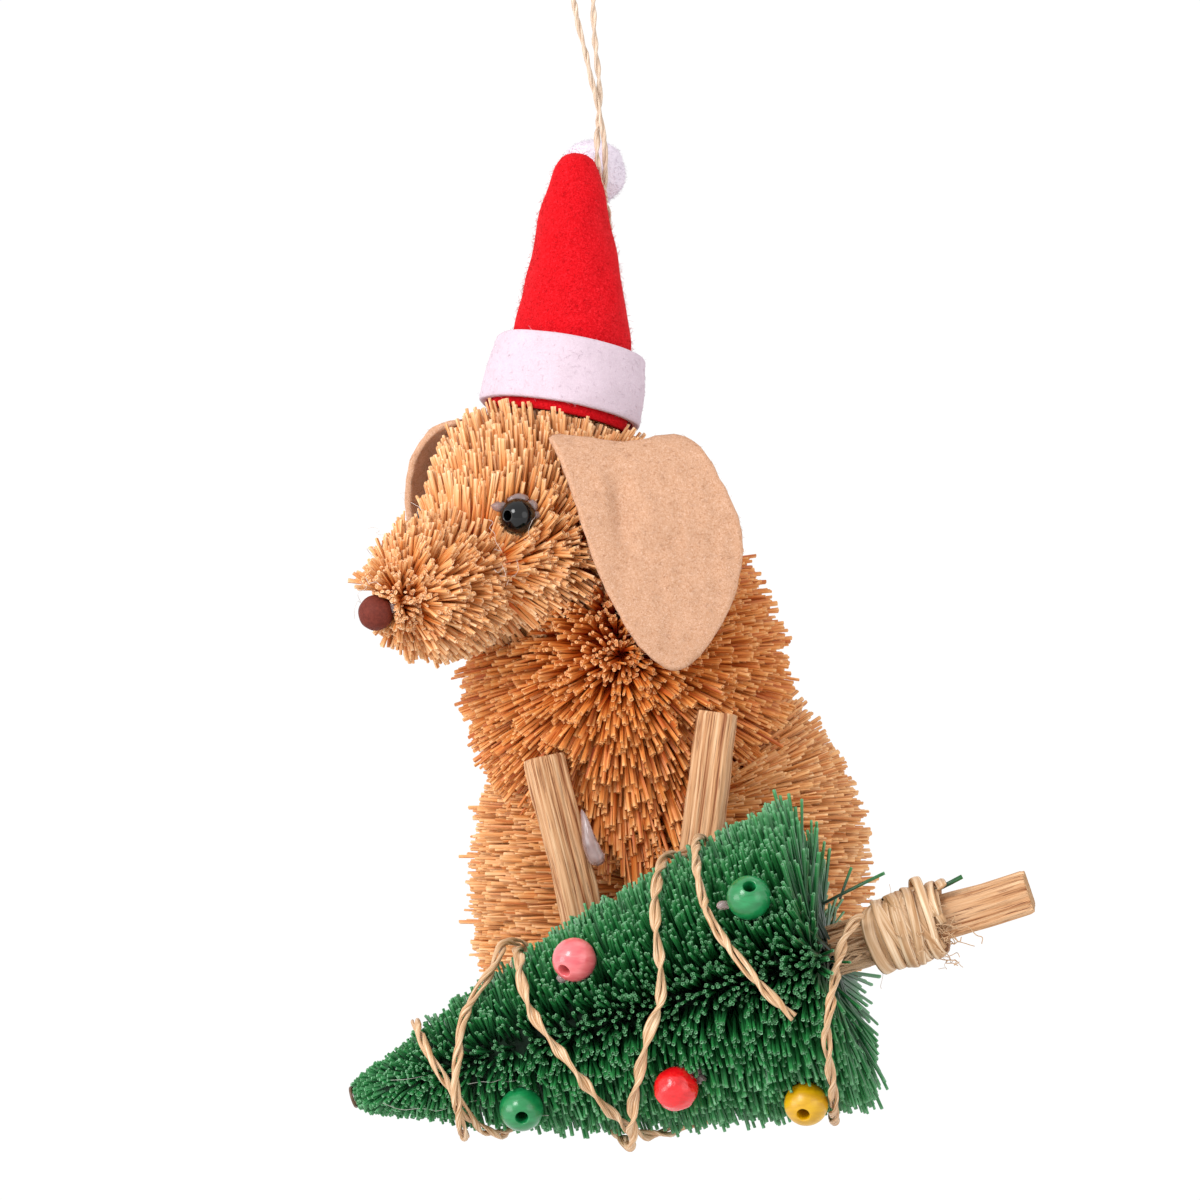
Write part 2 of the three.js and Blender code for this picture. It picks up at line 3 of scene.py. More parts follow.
import bpy
import numpy as np
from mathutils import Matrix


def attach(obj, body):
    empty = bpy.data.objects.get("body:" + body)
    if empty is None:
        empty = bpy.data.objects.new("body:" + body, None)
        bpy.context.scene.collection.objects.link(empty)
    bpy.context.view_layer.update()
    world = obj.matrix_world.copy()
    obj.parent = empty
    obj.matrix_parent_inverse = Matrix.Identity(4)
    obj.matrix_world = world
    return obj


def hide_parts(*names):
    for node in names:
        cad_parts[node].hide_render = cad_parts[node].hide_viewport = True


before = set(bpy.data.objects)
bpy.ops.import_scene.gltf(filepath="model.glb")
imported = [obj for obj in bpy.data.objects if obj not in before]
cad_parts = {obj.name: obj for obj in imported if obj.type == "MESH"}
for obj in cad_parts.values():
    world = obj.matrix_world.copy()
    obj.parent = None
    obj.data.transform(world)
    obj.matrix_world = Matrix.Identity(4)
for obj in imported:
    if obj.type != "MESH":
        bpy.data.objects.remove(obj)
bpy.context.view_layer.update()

# Bristle dog ornament: a sitting dog of three trimmed straw brushes, with felt ears, bead eyes and
# nose and two split wood forelegs, in a felt hat, with a green bristle tree across its forelegs.
# Places are in millimetres in the figure's own frame, and metres() takes them to the part's frame,
# whose origin is the top of the hanging loop. X runs right, Y away from the viewer and Z up.


def vec(*values):
    return np.array(values, float)


MM = 0.001
LOOP_TOP = vec(-5.7, 4, 163.6)
UV_NAME = "OFBake"

# Camera, at the photograph's height and distance
CAMERA_PLACE = vec(-3.51, -1210, 69.55)
SENSOR = 36
VIEW_WIDTH = 156
VIEW_DISTANCE = 1200
CAMERA_CLIP = (0.02, 20)

# Studio, in metres and watts: each lamp's place from what it lights, its width and its power
LIT_PLACE = vec(0, -10, 60)
LAMPS = [
    ("key", (-0.62, -0.85, 0.6), 0.5, 7.6),
    ("side", (-1.1, -0.5, -0.05), 0.8, 6.0),
    ("fill", (0.8, -0.8, 0.15), 0.8, 2.0),
]
SKY_STRENGTH = 1.03
FLOOR_LEVEL = -0.26
FLOOR_HALF = 0.7

# Brushes: the skin of each, and the core line that its fibres stand out from
CHEST_CENTRE = vec(0, 0, 57.8)
CHEST_RADIUS = 21.8
CHEST_RISE = 25
CHEST_DROP = 21.5
HIND_CENTRE = vec(5.7, 10, 31.9)
HIND_RADIUS = 26.6
HIND_HALF = 31.7
SEAT_HEIGHT = 9.5
HEAD_CENTRE = vec(-10.7, -5, 76.1)
HEAD_BALLS = [
    (vec(0, 0, 0), 15.6),
    (vec(-2.2, -1, 7.8), 13.3),
    (vec(5.9, 2, 5.9), 11.4),
    (vec(-13.5, -11.5, -4.9), 10.1),
    (vec(-18.9, -16.4, -6.2), 5),
]
HEAD_CORE = (vec(-29, -21, 69.6), vec(-8.6, -12.5, 77.2))
CHEST_CORE = (vec(-0.8, -12, 62.3), vec(-3, -9, 74))
HIND_CORE = (vec(5.7, -11, 20), vec(5.7, -11, 42))

# A fibre's place on the map: its column's width, the columns' span, the height of its sides, and
# the rim and middle of its cut end
MAP_WIDTH = 0.03
MAP_SPAN = 0.96
MAP_SIDE = 0.9
MAP_CUT = (0.93, 1)

# Fibres: how many a brush has, how thick, how unevenly trimmed, how far past the solid's skin
# and how far they sweep towards the start of the core line
HEAD_FUR = {"count": 9200, "width": 0.56, "seed": 11, "short": 0.1, "grow": -0.5, "sweep": 4.5}
CHEST_FUR = {"count": 9800, "width": 0.58, "seed": 23, "short": 0.12, "grow": 0, "sweep": 0}
HIND_FUR = {"count": 14400, "width": 0.54, "seed": 37, "short": 0.085, "grow": 0.3, "sweep": 0}
CLUMP = 0.6
CLUMP_SIZE = 3.2
STRAY = 0.22
BARE_SHARE = 0.3
ROOT_STRAY = 0.5
CANDIDATES = 12
SEEN_SIDE = 0.35
SEEN_SIDE_EXTRA = 0.5
WIDTH_RANGE = (0.75, 1.3)
# How far out each brush's dark inside reaches, as a share of its skin; that inside is painted shade
INSIDE_SHARE = {"head": 0.66, "chest": 0.62, "hind": 0.66, "tree": 0.58}

# Rooms that fibres keep out of: how far each is grown
HEAD_SINK = -1
CHEST_SINK = -1.5
ROOM_GROW = 0.35
BEAD_GROW = 0.15
EAR_ROOM_OUT = 5

# Apron: fibres of the chest that hang in front of the lap
APRON_COUNT = 480
APRON_WIDTH = 0.55
APRON_TOP = vec(0.8, -17.2, 47)
APRON_DROP = 14.5
APRON_HALF = 12
APRON_ROOT = vec(-0.6, -9.5, 59)

# Beads
BEAD_RADIUS = 2.28
BEAD_HOLE = 0.65
NOSE_RADIUS = 2.28
EYE_NEAR = vec(-14.1, -19.4, 80.4)
EYE_FAR = vec(-25.2, -5, 80.5)
NOSE_CENTRE = vec(-32.3, -25, 67.9)
EYE_NEAR_WAY = vec(-0.63, -0.77, 0)
EYE_FAR_WAY = vec(-0.77, 0.63, 0)

# Felt and its wool. An ear is a flap that hangs from its front corner: heading in degrees, how
# far it stands out below its crest, its flare, and the dent of the near one
FELT = 1
WOOL = 0.045
EAR_WIDTH = 24
EAR_LENGTH = 30
EAR_CREST = 12
EAR_NEAR = {
    "corner": vec(-10.2, -17.6, 90.5),
    "heading": 17,
    "side": 1,
    "stand": 5,
    "flare": 0.17,
    "dent": 1.25,
}
EAR_FAR = {
    "corner": vec(-22.2, -3.6, 92.7),
    "heading": 59,
    "side": -1,
    "stand": 9.2,
    "flare": 0,
    "dent": 0,
}
EAR_DENT_PLACE = (7.8, 9.8)
EAR_DENT_SIZE = (1.5, 4.2)
EAR_OUTLINE = [
    (0, 0),
    (0.01, 0.06),
    (0.06, 0.24),
    (0.2, 0.62),
    (0.44, 0.94),
    (0.6, 1),
    (0.76, 0.91),
    (0.95, 0.66),
    (1, 0.42),
    (0.915, 0.2),
    (0.77, 0),
    (0.4, 0.02),
]

# Hat, whose profile is by shares of the height and of the radius
HAT_BASE = vec(-9, -3, 92.6)
HAT_HEIGHT = 36
HAT_RADIUS = 9.5
HAT_TILT = math.radians(10)
HAT_LEAN = math.radians(9)
HAT_SWAY = 3.4
HAT_SIDES = 96
CUFF_HEIGHT = 9
CUFF_LIFT = 1.2
CUFF_SLACK = 0.6
CLEARANCE = 0.3
POMPOM_RADIUS = 4.4
POMPOM_PLACE = vec(-1.6, 8, 35.4)
HAT_PROFILE = [
    (0, 1),
    (0.32, 0.82),
    (0.54, 0.665),
    (0.76, 0.5),
    (0.9, 0.36),
    (0.975, 0.225),
    (1, 0),
]

# Wood: a leg's lower end, upper end and turn
LEG_WIDTH = 4.9
LEG_DEPTH = 3.6
LEG_LEFT = (vec(-1.5, -21.5, 9.5), vec(-10.7, -18, 49.3), 22)
LEG_RIGHT = (vec(5.2, -21.5, 9.5), vec(11.8, -19.2, 55), -14)
TRUNK_SIDE = 4.9
TRUNK_TURN = 12
TRUNK_OUT = 27
TRUNK_IN = 8

# Tree. A bead has a height over the tip, an angle from the viewer's side up, and the way of its
# hole in the tree's own frame
TREE_TIP = vec(-34.9, -27, 5.9)
TREE_BASE = vec(25.4, -36, 24.7)
TREE_RADIUS = 20.4
TREE_TIP_RADIUS = 2.5
TREE_SWELL = 1.3
TREE_SAG = 1.2
TREE_BEAD_RADIUS = 2.8
TREE_BEAD_HOLE = 0.8
BEAD_SINK = 0.2
TREE_BEADS = [
    ("tree_bead_coral", "coral", 34.1, 40, vec(-0.33, 0.79, -0.51)),
    ("tree_bead_green_upper", "green", 58.6, 31, vec(0.55, 0.78, 0.3)),
    ("tree_bead_red", "red", 42, -38, vec(0.3, 0, 1)),
    ("tree_bead_green_lower", "green", 21.5, -42, vec(-0.35, 0.93, 0.05)),
    ("tree_bead_yellow", "yellow", 56.9, -58, vec(-0.41, 0.89, -0.18)),
    ("tree_bead_back_red", "red", 14.5, 160, vec(0.2, -1, 0)),
]

# Its fibres and its dark inside, painted shade deep among the fibres, which stops short of the
# # tip and the base
INSIDE_FROM = 1.2
INSIDE_SHORT = 2
SIDE_COUNT = 9200
BASE_COUNT = 260
POINT_COUNT = 900
GREEN_WIDTH = 0.48
LOOSE_FROM = 16
POINT_LENGTH = 14
FLARE_MOST = 4

# Raffia: the garland, then the binding, then the plies of a twine and the cord
TWINE = 1.1
GARLAND_WIDTH = 1.4
GARLAND_PITCH = 10.5
TWINE_LIFT = 1.8
SNUG = TWINE / 2 + CLEARANCE
BIND_TWINE = 1.8
BIND_TURNS = 3
BIND_PITCH = 1.95
BIND_START = 7
BIND_SHIFT = 1.2
STRIPS = 8
STRIP_POINTS = 110
STRIP_WIDTHS = (0.9, 1.7)
STRIP_THICK = 0.4
STRIP_SPREAD = 0.22
STRIP_CROSSING = 1.1
TRUNK_CORNER = 57
LOOP_AT = 2.03
LOOP_RISE = 1.3
LOOP_SPAN = 0.13
BIND_FRAYS = 34
BIND_HAIRS = 8
TRUNK_SPLINTERS = 44
PLY_SHARE = 0.62
PLY_OFFSET = 0.42
GARLAND_FLAT = 0.6
CORD_FLAT = 0.75
CORD = 0.85
CORD_PITCH = 6.5
CORD_ROUTE = [
    (-3.3, 5.5, 118.2),
    (-3.2, 5.5, 119.6),
    (-3, 5.1, 123),
    (-2.8, 4.4, 126.6),
    (-3, 3.7, 130.2),
    (-3.6, 3.5, 133.8),
    (-4.5, 3.7, 137.4),
    (-5.3, 4, 141),
    (-6.3, 4, 145),
    (-7.1, 4, 149),
    (-7.7, 4, 153),
    (-8, 4, 157),
    (-7.8, 4, 160.6),
    (-7, 4, 162.9),
    (-5.7, 4, 163.6),
    (-4.4, 4, 162.9),
    (-3.7, 4, 160.6),
    (-3.7, 4, 157),
    (-4, 4, 153),
    (-4.4, 4, 149),
    (-4.3, 4, 145),
    (-4, 4.1, 141),
    (-3.6, 4.3, 137.4),
    (-3.6, 4.5, 133.8),
    (-3.9, 4.3, 130.2),
    (-3.8, 3.8, 126.6),
    (-3, 4.1, 123),
    (-2.3, 4.9, 119.6),
    (-2.2, 5, 118.2),
]

# Twine turns: height over the tree's tip and angle from the viewer's side up
TWINE_DOWN = [
    (10.4, 90),
    (12, 23),
    (13.7, -20),
    (15, -60),
    (16.6, -85),
    (19, -140),
    (22.5, -215),
    (26.3, -282),
    (26.9, -337),
    (30, -376),
    (32.6, -408),
    (35.9, -450),
    (48.6, -496),
    (51.6, -560),
    (52.5, -645),
    (52.6, -674),
    (53, -690),
    (55.2, -709),
    (57, -721),
    (59.9, -736),
]
TWINE_UP = [
    (12.2, -85),
    (14.1, -21),
    (15.9, 10),
    (17.4, 35),
    (20.3, 59),
    (24, 90),
    (26.4, 135),
    (27.8, 180),
    (28.6, 228),
    (31.9, 275),
    (35.6, 315),
    (40.6, 348),
    (44.7, 370),
    (45.9, 398),
    (47.6, 440),
    (48, 460),
    (49, 472),
    (52.6, 483),
    (55, 500),
    (56, 540),
    (58.2, 630),
    (61.2, 672),
    (63.2, 696),
    (64.9, 705),
]
TWINE_LAST = [(66.8, 718, 0.5), (70, 750, 1)]

# Glue: what each lump sits beside, how far from its middle, and the lump's half sizes
GLUE_LUMPS = [
    ("eye", (-2.3, 0.9, 1.3), (1.3, 0.9, 0.75)),
    ("eye", (0, 0.9, 2.2), (1.4, 0.9, 0.7)),
    ("eye", (1.7, 0.8, 1.3), (0.9, 0.8, 0.8)),
    ("eye", (2.3, 0.5, 0.1), (0.6, 0.5, 0.5)),
    ("nose", (2.2, -0.3, 0.8), (0.7, 0.6, 0.9)),
    ("tree_bead_red", (1.9, 1.4, 2.1), (1.5, 0.9, 0.9)),
    ("tree_bead_red", (3.1, 1.2, 1.2), (0.8, 0.7, 0.7)),
    ("tree_bead_coral", (-1.4, 0.8, -2.4), (0.9, 0.6, 0.6)),
    ("tree_bead_green_upper", (-3.2, 0.8, -1), (0.9, 0.7, 0.6)),
]
GLUE_RUN = [
    (-5.9, -20.6, 42.6),
    (-5.4, -21, 40.8),
    (-4.9, -21.2, 38.6),
    (-4, -21, 36.4),
    (-3.2, -20.6, 35.6),
]
GLUE_RUN_WIDTHS = [(0, 0.1), (0.06, 0.7), (0.3, 1.6), (0.55, 2.6), (0.8, 3), (0.95, 1.7), (1, 0.2)]
GLUE_THREADS = 9
HAIR_WIDTH = 0.06

# Grey hairs by height over the tree's tip, angle and length, and long green fibres by root, tip
# and width
GREY_HAIRS = [(4, -20, 13), (6, 10, 9), (16, -15, 7), (20, -48, 6)]
STRAY_GREEN = [
    ((24.7, -37, 30.9), (32.6, -38.5, 34.9), 0.55),
    ((38.6, -39.5, 32.5), (42.4, -40, 34.5), 0.62),
    ((27, -36, 31.5), (28.5, -35, 35.5), 0.5),
]
WIRE_RING = 1.25
WIRE_WIDTH = 0.42


# Points and curves


def metres(points):
    """Places in the part's own frame, from millimetres in the figure's."""
    return (np.asarray(points) - LOOP_TOP) * MM


def unit(vectors):
    return vectors / np.linalg.norm(vectors, axis=-1, keepdims=True)


def smooth_curve(stops, steps, closed=False):
    """Points on a centripetal curve through the stops, with steps to each span."""
    stops = np.asarray(stops, float)
    count = len(stops)
    if closed:
        padded = np.vstack([stops[-1], stops, stops[:2]])
    else:
        first = 2 * stops[0] - stops[1]
        last = 2 * stops[-1] - stops[-2]
        padded = np.vstack([first, stops, last])
    t = np.linspace(0, 1, steps, endpoint=False)[:, None]
    spans = []
    for i in range(count if closed else count - 1):
        a, b, c, d = padded[i : i + 4]
        before, here, after = (np.sqrt(np.linalg.norm(q - p)) for p, q in ((a, b), (b, c), (c, d)))
        leave = here * ((b - a) / before - (c - a) / (before + here) + (c - b) / here)
        arrive = here * ((c - b) / here - (d - b) / (here + after) + (d - c) / after)
        cubic = 2 * b - 2 * c + leave + arrive
        square = -3 * b + 3 * c - 2 * leave - arrive
        spans.append(b + leave * t + square * t**2 + cubic * t**3)
    if not closed:
        spans.append(stops[-1:])
    return np.vstack(spans)


def walk(points, step):
    """The same path with its points an even step apart, and how far along each one is."""
    gaps = np.linalg.norm(np.diff(points, axis=0), axis=1)
    along = np.concatenate([[0], np.cumsum(gaps)])
    places = np.linspace(0, along[-1], max(int(along[-1] / step), 2) + 1)
    return np.stack([np.interp(places, along, axis) for axis in points.T], 1), places


def path_frames(points):
    """Two directions across a path at each point, carried along it without twist."""
    ways = unit(np.gradient(points, axis=0))
    side = np.cross(ways[0], vec(0.3, 0.5, 0.81))
    sides = []
    for way in ways:
        side = unit(side - way * side.dot(way))
        sides.append(side)
    sides = np.array(sides)
    return sides, np.cross(ways, sides)


def ripple(points, wavelength, seed, waves=14):
    """Smooth random values between about -1 and 1 over space."""
    rng = np.random.default_rng(seed)
    ways = unit(rng.normal(size=(waves, 3))) * (2 * math.pi / wavelength)
    ways *= rng.uniform(0.7, 1.5, (waves, 1))
    phase = rng.uniform(0, 2 * math.pi, waves)
    return np.sin(points @ ways.T + phase).sum(1) / math.sqrt(waves)


def ripple_vectors(points, wavelength, seed):
    """The same as offsets in three directions."""
    return np.stack([ripple(points, wavelength, seed + i) for i in range(3)], 1)


# Meshes


def grid(rows, columns, close_rows=False):
    """Quads over rings of points, with each corner's share round and along."""
    last = rows if close_rows else rows - 1
    i, j = (a.ravel() for a in np.meshgrid(np.arange(last), np.arange(columns), indexing="ij"))
    down = np.stack([i, i, i + 1, i + 1], 1)
    round_ = np.stack([j, j + 1, j + 1, j], 1)
    quads = down % rows * columns + round_ % columns
    return quads, np.stack([round_ / columns, down / last], 2)


def piece(name, points, faces, looks, uvs=None, smooth=True, slots=None):
    """A mesh object of the part. faces are arrays of equal-sided faces, and uvs match them."""
    mesh = bpy.data.meshes.new(name)
    mesh.from_pydata(metres(points).tolist(), [], [f for some in faces for f in some.tolist()])
    if uvs is not None:
        flat = np.concatenate([u.reshape(-1, 2) for u in uvs]).astype(np.float32)
        mesh.uv_layers.new(name=UV_NAME).uv.foreach_set("vector", flat.ravel())
    for look in looks if isinstance(looks, list) else [looks]:
        mesh.materials.append(look)
    if slots is not None:
        mesh.polygons.foreach_set("material_index", np.asarray(slots, np.int32))
    mesh.polygons.foreach_set("use_smooth", np.full(len(mesh.polygons), smooth))
    mesh.update()
    made = bpy.data.objects.new(name, mesh)
    bpy.context.scene.collection.objects.link(made)
    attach(made, "root")
    return made


def capped(rows, columns):
    """Rings of points as a closed skin: its faces and their places on the map."""
    quads, uvs = grid(rows, columns)
    first = np.arange(columns)[None, ::-1]
    last = first[:, ::-1] + (rows - 1) * columns
    ends = [np.zeros((1, columns, 2)), np.ones((1, columns, 2))]
    return [quads, first, last], [uvs, *ends]


def joined(parts):
    """Several (points, faces, uvs) as one."""
    points, faces, uvs, start = [], [], [], 0
    for some, its_faces, its_uvs in parts:
        points.append(some)
        faces += [f + start for f in its_faces]
        uvs += its_uvs
        start += len(some)
    return np.vstack(points), faces, uvs


def tube(path, wide, thick, sides, turn=0, share=(0, 1)):
    """A closed tube of oval section. wide and thick may change along it, and turn twists it."""
    side, up = path_frames(path)
    angle = np.linspace(0, 2 * math.pi, sides, endpoint=False)
    turn = np.broadcast_to(turn, len(path))[:, None, None]
    wide = np.broadcast_to(wide, len(path))[:, None, None]
    thick = np.broadcast_to(thick, len(path))[:, None, None]
    a = side[:, None] * np.cos(turn) + up[:, None] * np.sin(turn)
    b = up[:, None] * np.cos(turn) - side[:, None] * np.sin(turn)
    ring = a * np.cos(angle)[:, None] * wide / 2 + b * np.sin(angle)[:, None] * thick / 2
    points = (path[:, None] + ring).reshape(-1, 3)
    faces, uvs = capped(len(path), sides)
    low, high = share
    uvs = [u * (high - low, 1) + (low, 0) for u in uvs]
    return points, faces, uvs


def plied(path, width, pitch, flat, seed):
    """A twine of two flat plies laid round each other along a path."""
    path, along = walk(path, width / 3.2)
    side, up = path_frames(path)
    wander = 0.36 * ripple(path, 4.5, seed)
    parts = []
    for i in range(2):
        angle = 2 * math.pi * (along / pitch + i / 2) + wander
        out = side * np.cos(angle)[:, None] + up * np.sin(angle)[:, None]
        ply = width * (PLY_SHARE + 0.07 * ripple(path, 5, seed + 10 + i))
        line = path + out * (width - ply * flat)[:, None] * PLY_OFFSET
        parts.append(tube(line, ply, ply * flat, 9, angle + math.pi / 2, (i / 2, (i + 1) / 2)))
    np.random.default_rng(seed).shuffle(parts)
    return joined(parts)


def skin(centre, reach, rows, columns):
    """A closed skin round a centre, which reach gives the distance of in each direction."""
    polar = np.linspace(0.03, math.pi - 0.03, rows)[:, None]
    turn = np.linspace(0, 2 * math.pi, columns, endpoint=False)[None]
    level = np.cos(polar) * np.ones(columns)
    ways = np.stack([np.sin(polar) * np.cos(turn), np.sin(polar) * np.sin(turn), level], 2).reshape(-1, 3)
    points = centre + ways * reach(ways)[:, None]
    faces, uvs = capped(rows, columns)
    return points, [f[:, ::-1] for f in faces], [u[:, ::-1] for u in uvs]


def scatter(points, quads, count, rng):
    """Places spread by area over quads, with the outward direction at each."""
    corners = points[quads]
    across = np.cross(corners[:, 2] - corners[:, 0], corners[:, 3] - corners[:, 1])
    area = np.linalg.norm(across, axis=1)
    pick = rng.choice(len(quads), count, p=area / area.sum())
    a, b = rng.random((2, count, 1))
    low = corners[pick, 0] * (1 - a) + corners[pick, 1] * a
    high = corners[pick, 3] * (1 - a) + corners[pick, 2] * a
    return low * (1 - b) + high * b, unit(across[pick])


# Fibres


def fibres(roots, tips, widths, rng, sides=5, flat=0.72, bow=0.03, hollow=0.12, point=1.0):
    """Straight or slightly bowed stalks with cut ends: points, faces and places on the map."""
    count = len(roots)
    way = tips - roots
    length = np.linalg.norm(way, axis=1, keepdims=True)
    way = way / length
    helper = np.where(np.abs(way[:, 2:]) < 0.9, vec(0, 0, 1), vec(1, 0, 0))
    first = unit(np.cross(way, helper))
    second = np.cross(way, first)
    spin = rng.uniform(0, 2 * math.pi, (count, 1))
    side = first * np.cos(spin) + second * np.sin(spin)
    up = second * np.cos(spin) - first * np.sin(spin)
    angle = np.linspace(0, 2 * math.pi, sides, endpoint=False)[:, None]
    ring = side[:, None] * np.cos(angle) + up[:, None] * np.sin(angle) * flat
    ring = ring * widths[:, None, None] / 2
    shares = [0, 1] if bow == 0 else [0, 0.6, 1]
    sizes = np.interp(shares, [0, 0.6, 1], [0.85, 1, point])
    lift = up * length * rng.normal(0, bow, (count, 1)) if bow else 0
    rows = []
    for share, size in zip(shares, sizes):
        middle = roots + way * length * share + lift * (share * (1 - share) * 4)
        rows.append(middle[:, None] + ring * size)
    end = (tips - way * hollow * widths[:, None])[:, None]
    points = np.concatenate([*rows, end], axis=1)
    each = points.shape[1]
    quads, along = grid(len(shares), sides)
    corner = np.arange(sides)
    last = (len(shares) - 1) * sides
    cap = np.stack([last + corner, last + (corner + 1) % sides, np.full(sides, each - 1)], 1)
    base = np.arange(count)[:, None, None] * each
    seed = rng.random((count, 1, 1)) * MAP_SPAN
    levels = np.array(shares) * MAP_SIDE
    u = seed + along[None, :, :, 0] * MAP_WIDTH
    v = np.broadcast_to(np.interp(along[..., 1], np.linspace(0, 1, len(shares)), levels), u.shape)
    turn = np.stack([corner, corner + 1, corner + 0.5], 1) / sides
    cap_u = seed + turn[None] * MAP_WIDTH
    cap_v = np.broadcast_to(vec(MAP_CUT[0], *MAP_CUT), cap_u.shape)
    faces = [(quads[None] + base).reshape(-1, 4), (cap[None] + base).reshape(-1, 3)]
    uvs = [np.stack([u, v], 3).reshape(-1, 4, 2), np.stack([cap_u, cap_v], 3).reshape(-1, 3, 2)]
    return points.reshape(-1, 3), faces, uvs


def spread_ways(reach, count, rng):
    """Directions spread evenly over the skin that reach describes, closer on the seen side."""
    many = CANDIDATES * count
    i = np.arange(many) + 0.5
    z = 1 - 2 * i / many
    turn = i * math.pi * (3 - math.sqrt(5))
    flat = np.sqrt(1 - z * z)
    ways = np.stack([flat * np.cos(turn), flat * np.sin(turn), z], 1)
    near = 0.01
    here = reach(ways)
    side = unit(np.cross(ways, vec(0.31, 0.52, 0.79)))
    other = np.cross(ways, side)
    slope = [(reach(unit(ways + near * s)) - here) / (near * here) for s in (side, other)]
    weight = here**2 * np.sqrt(1 + slope[0] ** 2 + slope[1] ** 2)
    weight *= 1 + SEEN_SIDE_EXTRA * (ways[:, 1] < SEEN_SIDE)
    total = np.cumsum(weight)
    wanted = (np.arange(count) + rng.random(count)) * total[-1] / count
    return ways[np.searchsorted(total, wanted)]


def clipped(roots, tips, blocks, keep=0.45):
    """Ends each fibre before it enters a neighbour's room, and drops those with no room."""
    steps = 14
    ends = np.ones(len(tips))
    for share in np.linspace(1, keep, steps):
        points = roots + (tips - roots) * share
        hit = np.zeros(len(tips), bool)
        for block in blocks:
            hit |= block(points)
        ends[hit] = share - (1 - keep) / steps
    kept = ends > keep
    return roots[kept], (roots + (tips - roots) * ends[:, None])[kept]


def freed(roots, tips, rooms):
    """Starts each fibre where it leaves a neighbour's room, and drops those that end inside one."""
    overlap = 3
    steps = 24
    starts = np.zeros(len(tips))
    length = np.linalg.norm(tips - roots, axis=1)
    for share in np.linspace(0, 1, steps):
        points = roots + (tips - roots) * share
        for room in rooms:
            starts[room(points)] = share
    kept = starts < 1
    starts = np.maximum(starts - overlap / length, 0)[:, None]
    return (roots + (tips - roots) * starts)[kept], tips[kept]


def nearest_on(core, points, sweep):
    """The nearest place on a core line to each point, moved by sweep towards the line's start."""
    start, end = core
    line = end - start
    length = np.linalg.norm(line)
    share = np.clip(((points - start) @ line / length - sweep) / length, 0, 1)
    return start + share[:, None] * line


def brush(centre, reach, core, fur, blocks, rooms=()):
    """A trimmed brush: fibres stand out from a core line to the skin, in small leaning clumps.

    They end at the blocks and start outside the rooms."""
    rng = np.random.default_rng(fur["seed"])
    ways = spread_ways(reach, fur["count"], rng)
    tips = centre + ways * (reach(ways) + fur["grow"])[:, None]
    starts = nearest_on(core, tips, fur["sweep"])
    less = np.abs(rng.normal(0, fur["short"], len(tips)))[:, None]
    tips = starts + (tips - starts) * (1 - less)
    clumps = CLUMP * ripple_vectors(tips, CLUMP_SIZE, fur["seed"])
    tips = tips + clumps + rng.normal(0, STRAY, tips.shape)
    roots = starts + (tips - starts) * BARE_SHARE + rng.normal(0, ROOT_STRAY, tips.shape)
    roots, tips = freed(roots, tips, rooms)
    roots, tips = clipped(roots, tips, blocks)
    widths = fur["width"] * rng.uniform(*WIDTH_RANGE, len(roots))
    return fibres(roots, tips, widths, rng, bow=0)


def apron(rooms):
    """Fibres of the chest that hang in front of the lap, between the forelegs."""
    rng = np.random.default_rng(29)
    across = rng.uniform(-1, 1, APRON_COUNT)
    down = rng.uniform(0, 1, APRON_COUNT)
    side = APRON_HALF * across * (1 - down / 2)
    depth = 2.2 * rng.random(APRON_COUNT)
    tips = APRON_TOP + np.stack([side, depth, 0.016 * side**2 - APRON_DROP * down], 1)
    tips = tips + 0.8 * ripple_vectors(tips, 3.4, 30)
    roots = APRON_ROOT + np.stack([side * 0.4, np.zeros(APRON_COUNT), -9 * down], 1)
    roots, tips = clipped(roots, tips, rooms)
    return fibres(roots, tips, APRON_WIDTH * rng.uniform(*WIDTH_RANGE, len(roots)), rng)


def core_skin(centre, reach, share):
    """The dark inside of a brush: a skin painted as the shade deep among its fibres."""

    def inside(ways):
        return reach(ways) * share

    return skin(centre, inside, 24, 36)


def brush_piece(name, node, fur, inside, looks):
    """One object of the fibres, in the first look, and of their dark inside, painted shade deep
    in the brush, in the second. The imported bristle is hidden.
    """
    points, faces, uvs = joined([fur, inside])
    counts = [sum(len(f) for f in part[1]) for part in (fur, inside)]
    slots = np.repeat([0, 1], counts)
    made = piece(name, points, faces, looks, uvs, smooth=False, slots=slots)
    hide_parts(node)


# Skins of the brushes, as in the solid parts


def egg_reach(radius, rise, drop):
    """The distance out of an egg, which rises and drops by its own heights."""

    def reach(ways):
        half = np.where(ways[:, 2] > 0, rise, drop)
        return 1 / np.sqrt((ways[:, :2] ** 2).sum(1) / radius**2 + (ways[:, 2] / half) ** 2)

    return reach


chest_reach = egg_reach(CHEST_RADIUS, CHEST_RISE, CHEST_DROP)
hind_egg = egg_reach(HIND_RADIUS, HIND_HALF, HIND_HALF)


def hind_reach(ways):
    """The hindquarters' egg with a flat seat."""
    floor = HIND_CENTRE[2] - SEAT_HEIGHT
    return np.minimum(hind_egg(ways), floor / np.maximum(-ways[:, 2], 1e-6))


def ball_reach(balls):
    """The farthest way out of several balls, with the hollows between them filled a little."""
    fill = 9

    def reach(ways):
        total = np.zeros(len(ways))
        for offset, radius in balls:
            along = ways @ offset
            miss = offset.dot(offset) - along**2
            out = np.where(miss < radius**2, along + np.sqrt(np.maximum(radius**2 - miss, 0)), 0)
            total += np.maximum(out, 0) ** fill
        return total ** (1 / fill)

    return reach


head_reach = ball_reach(HEAD_BALLS)

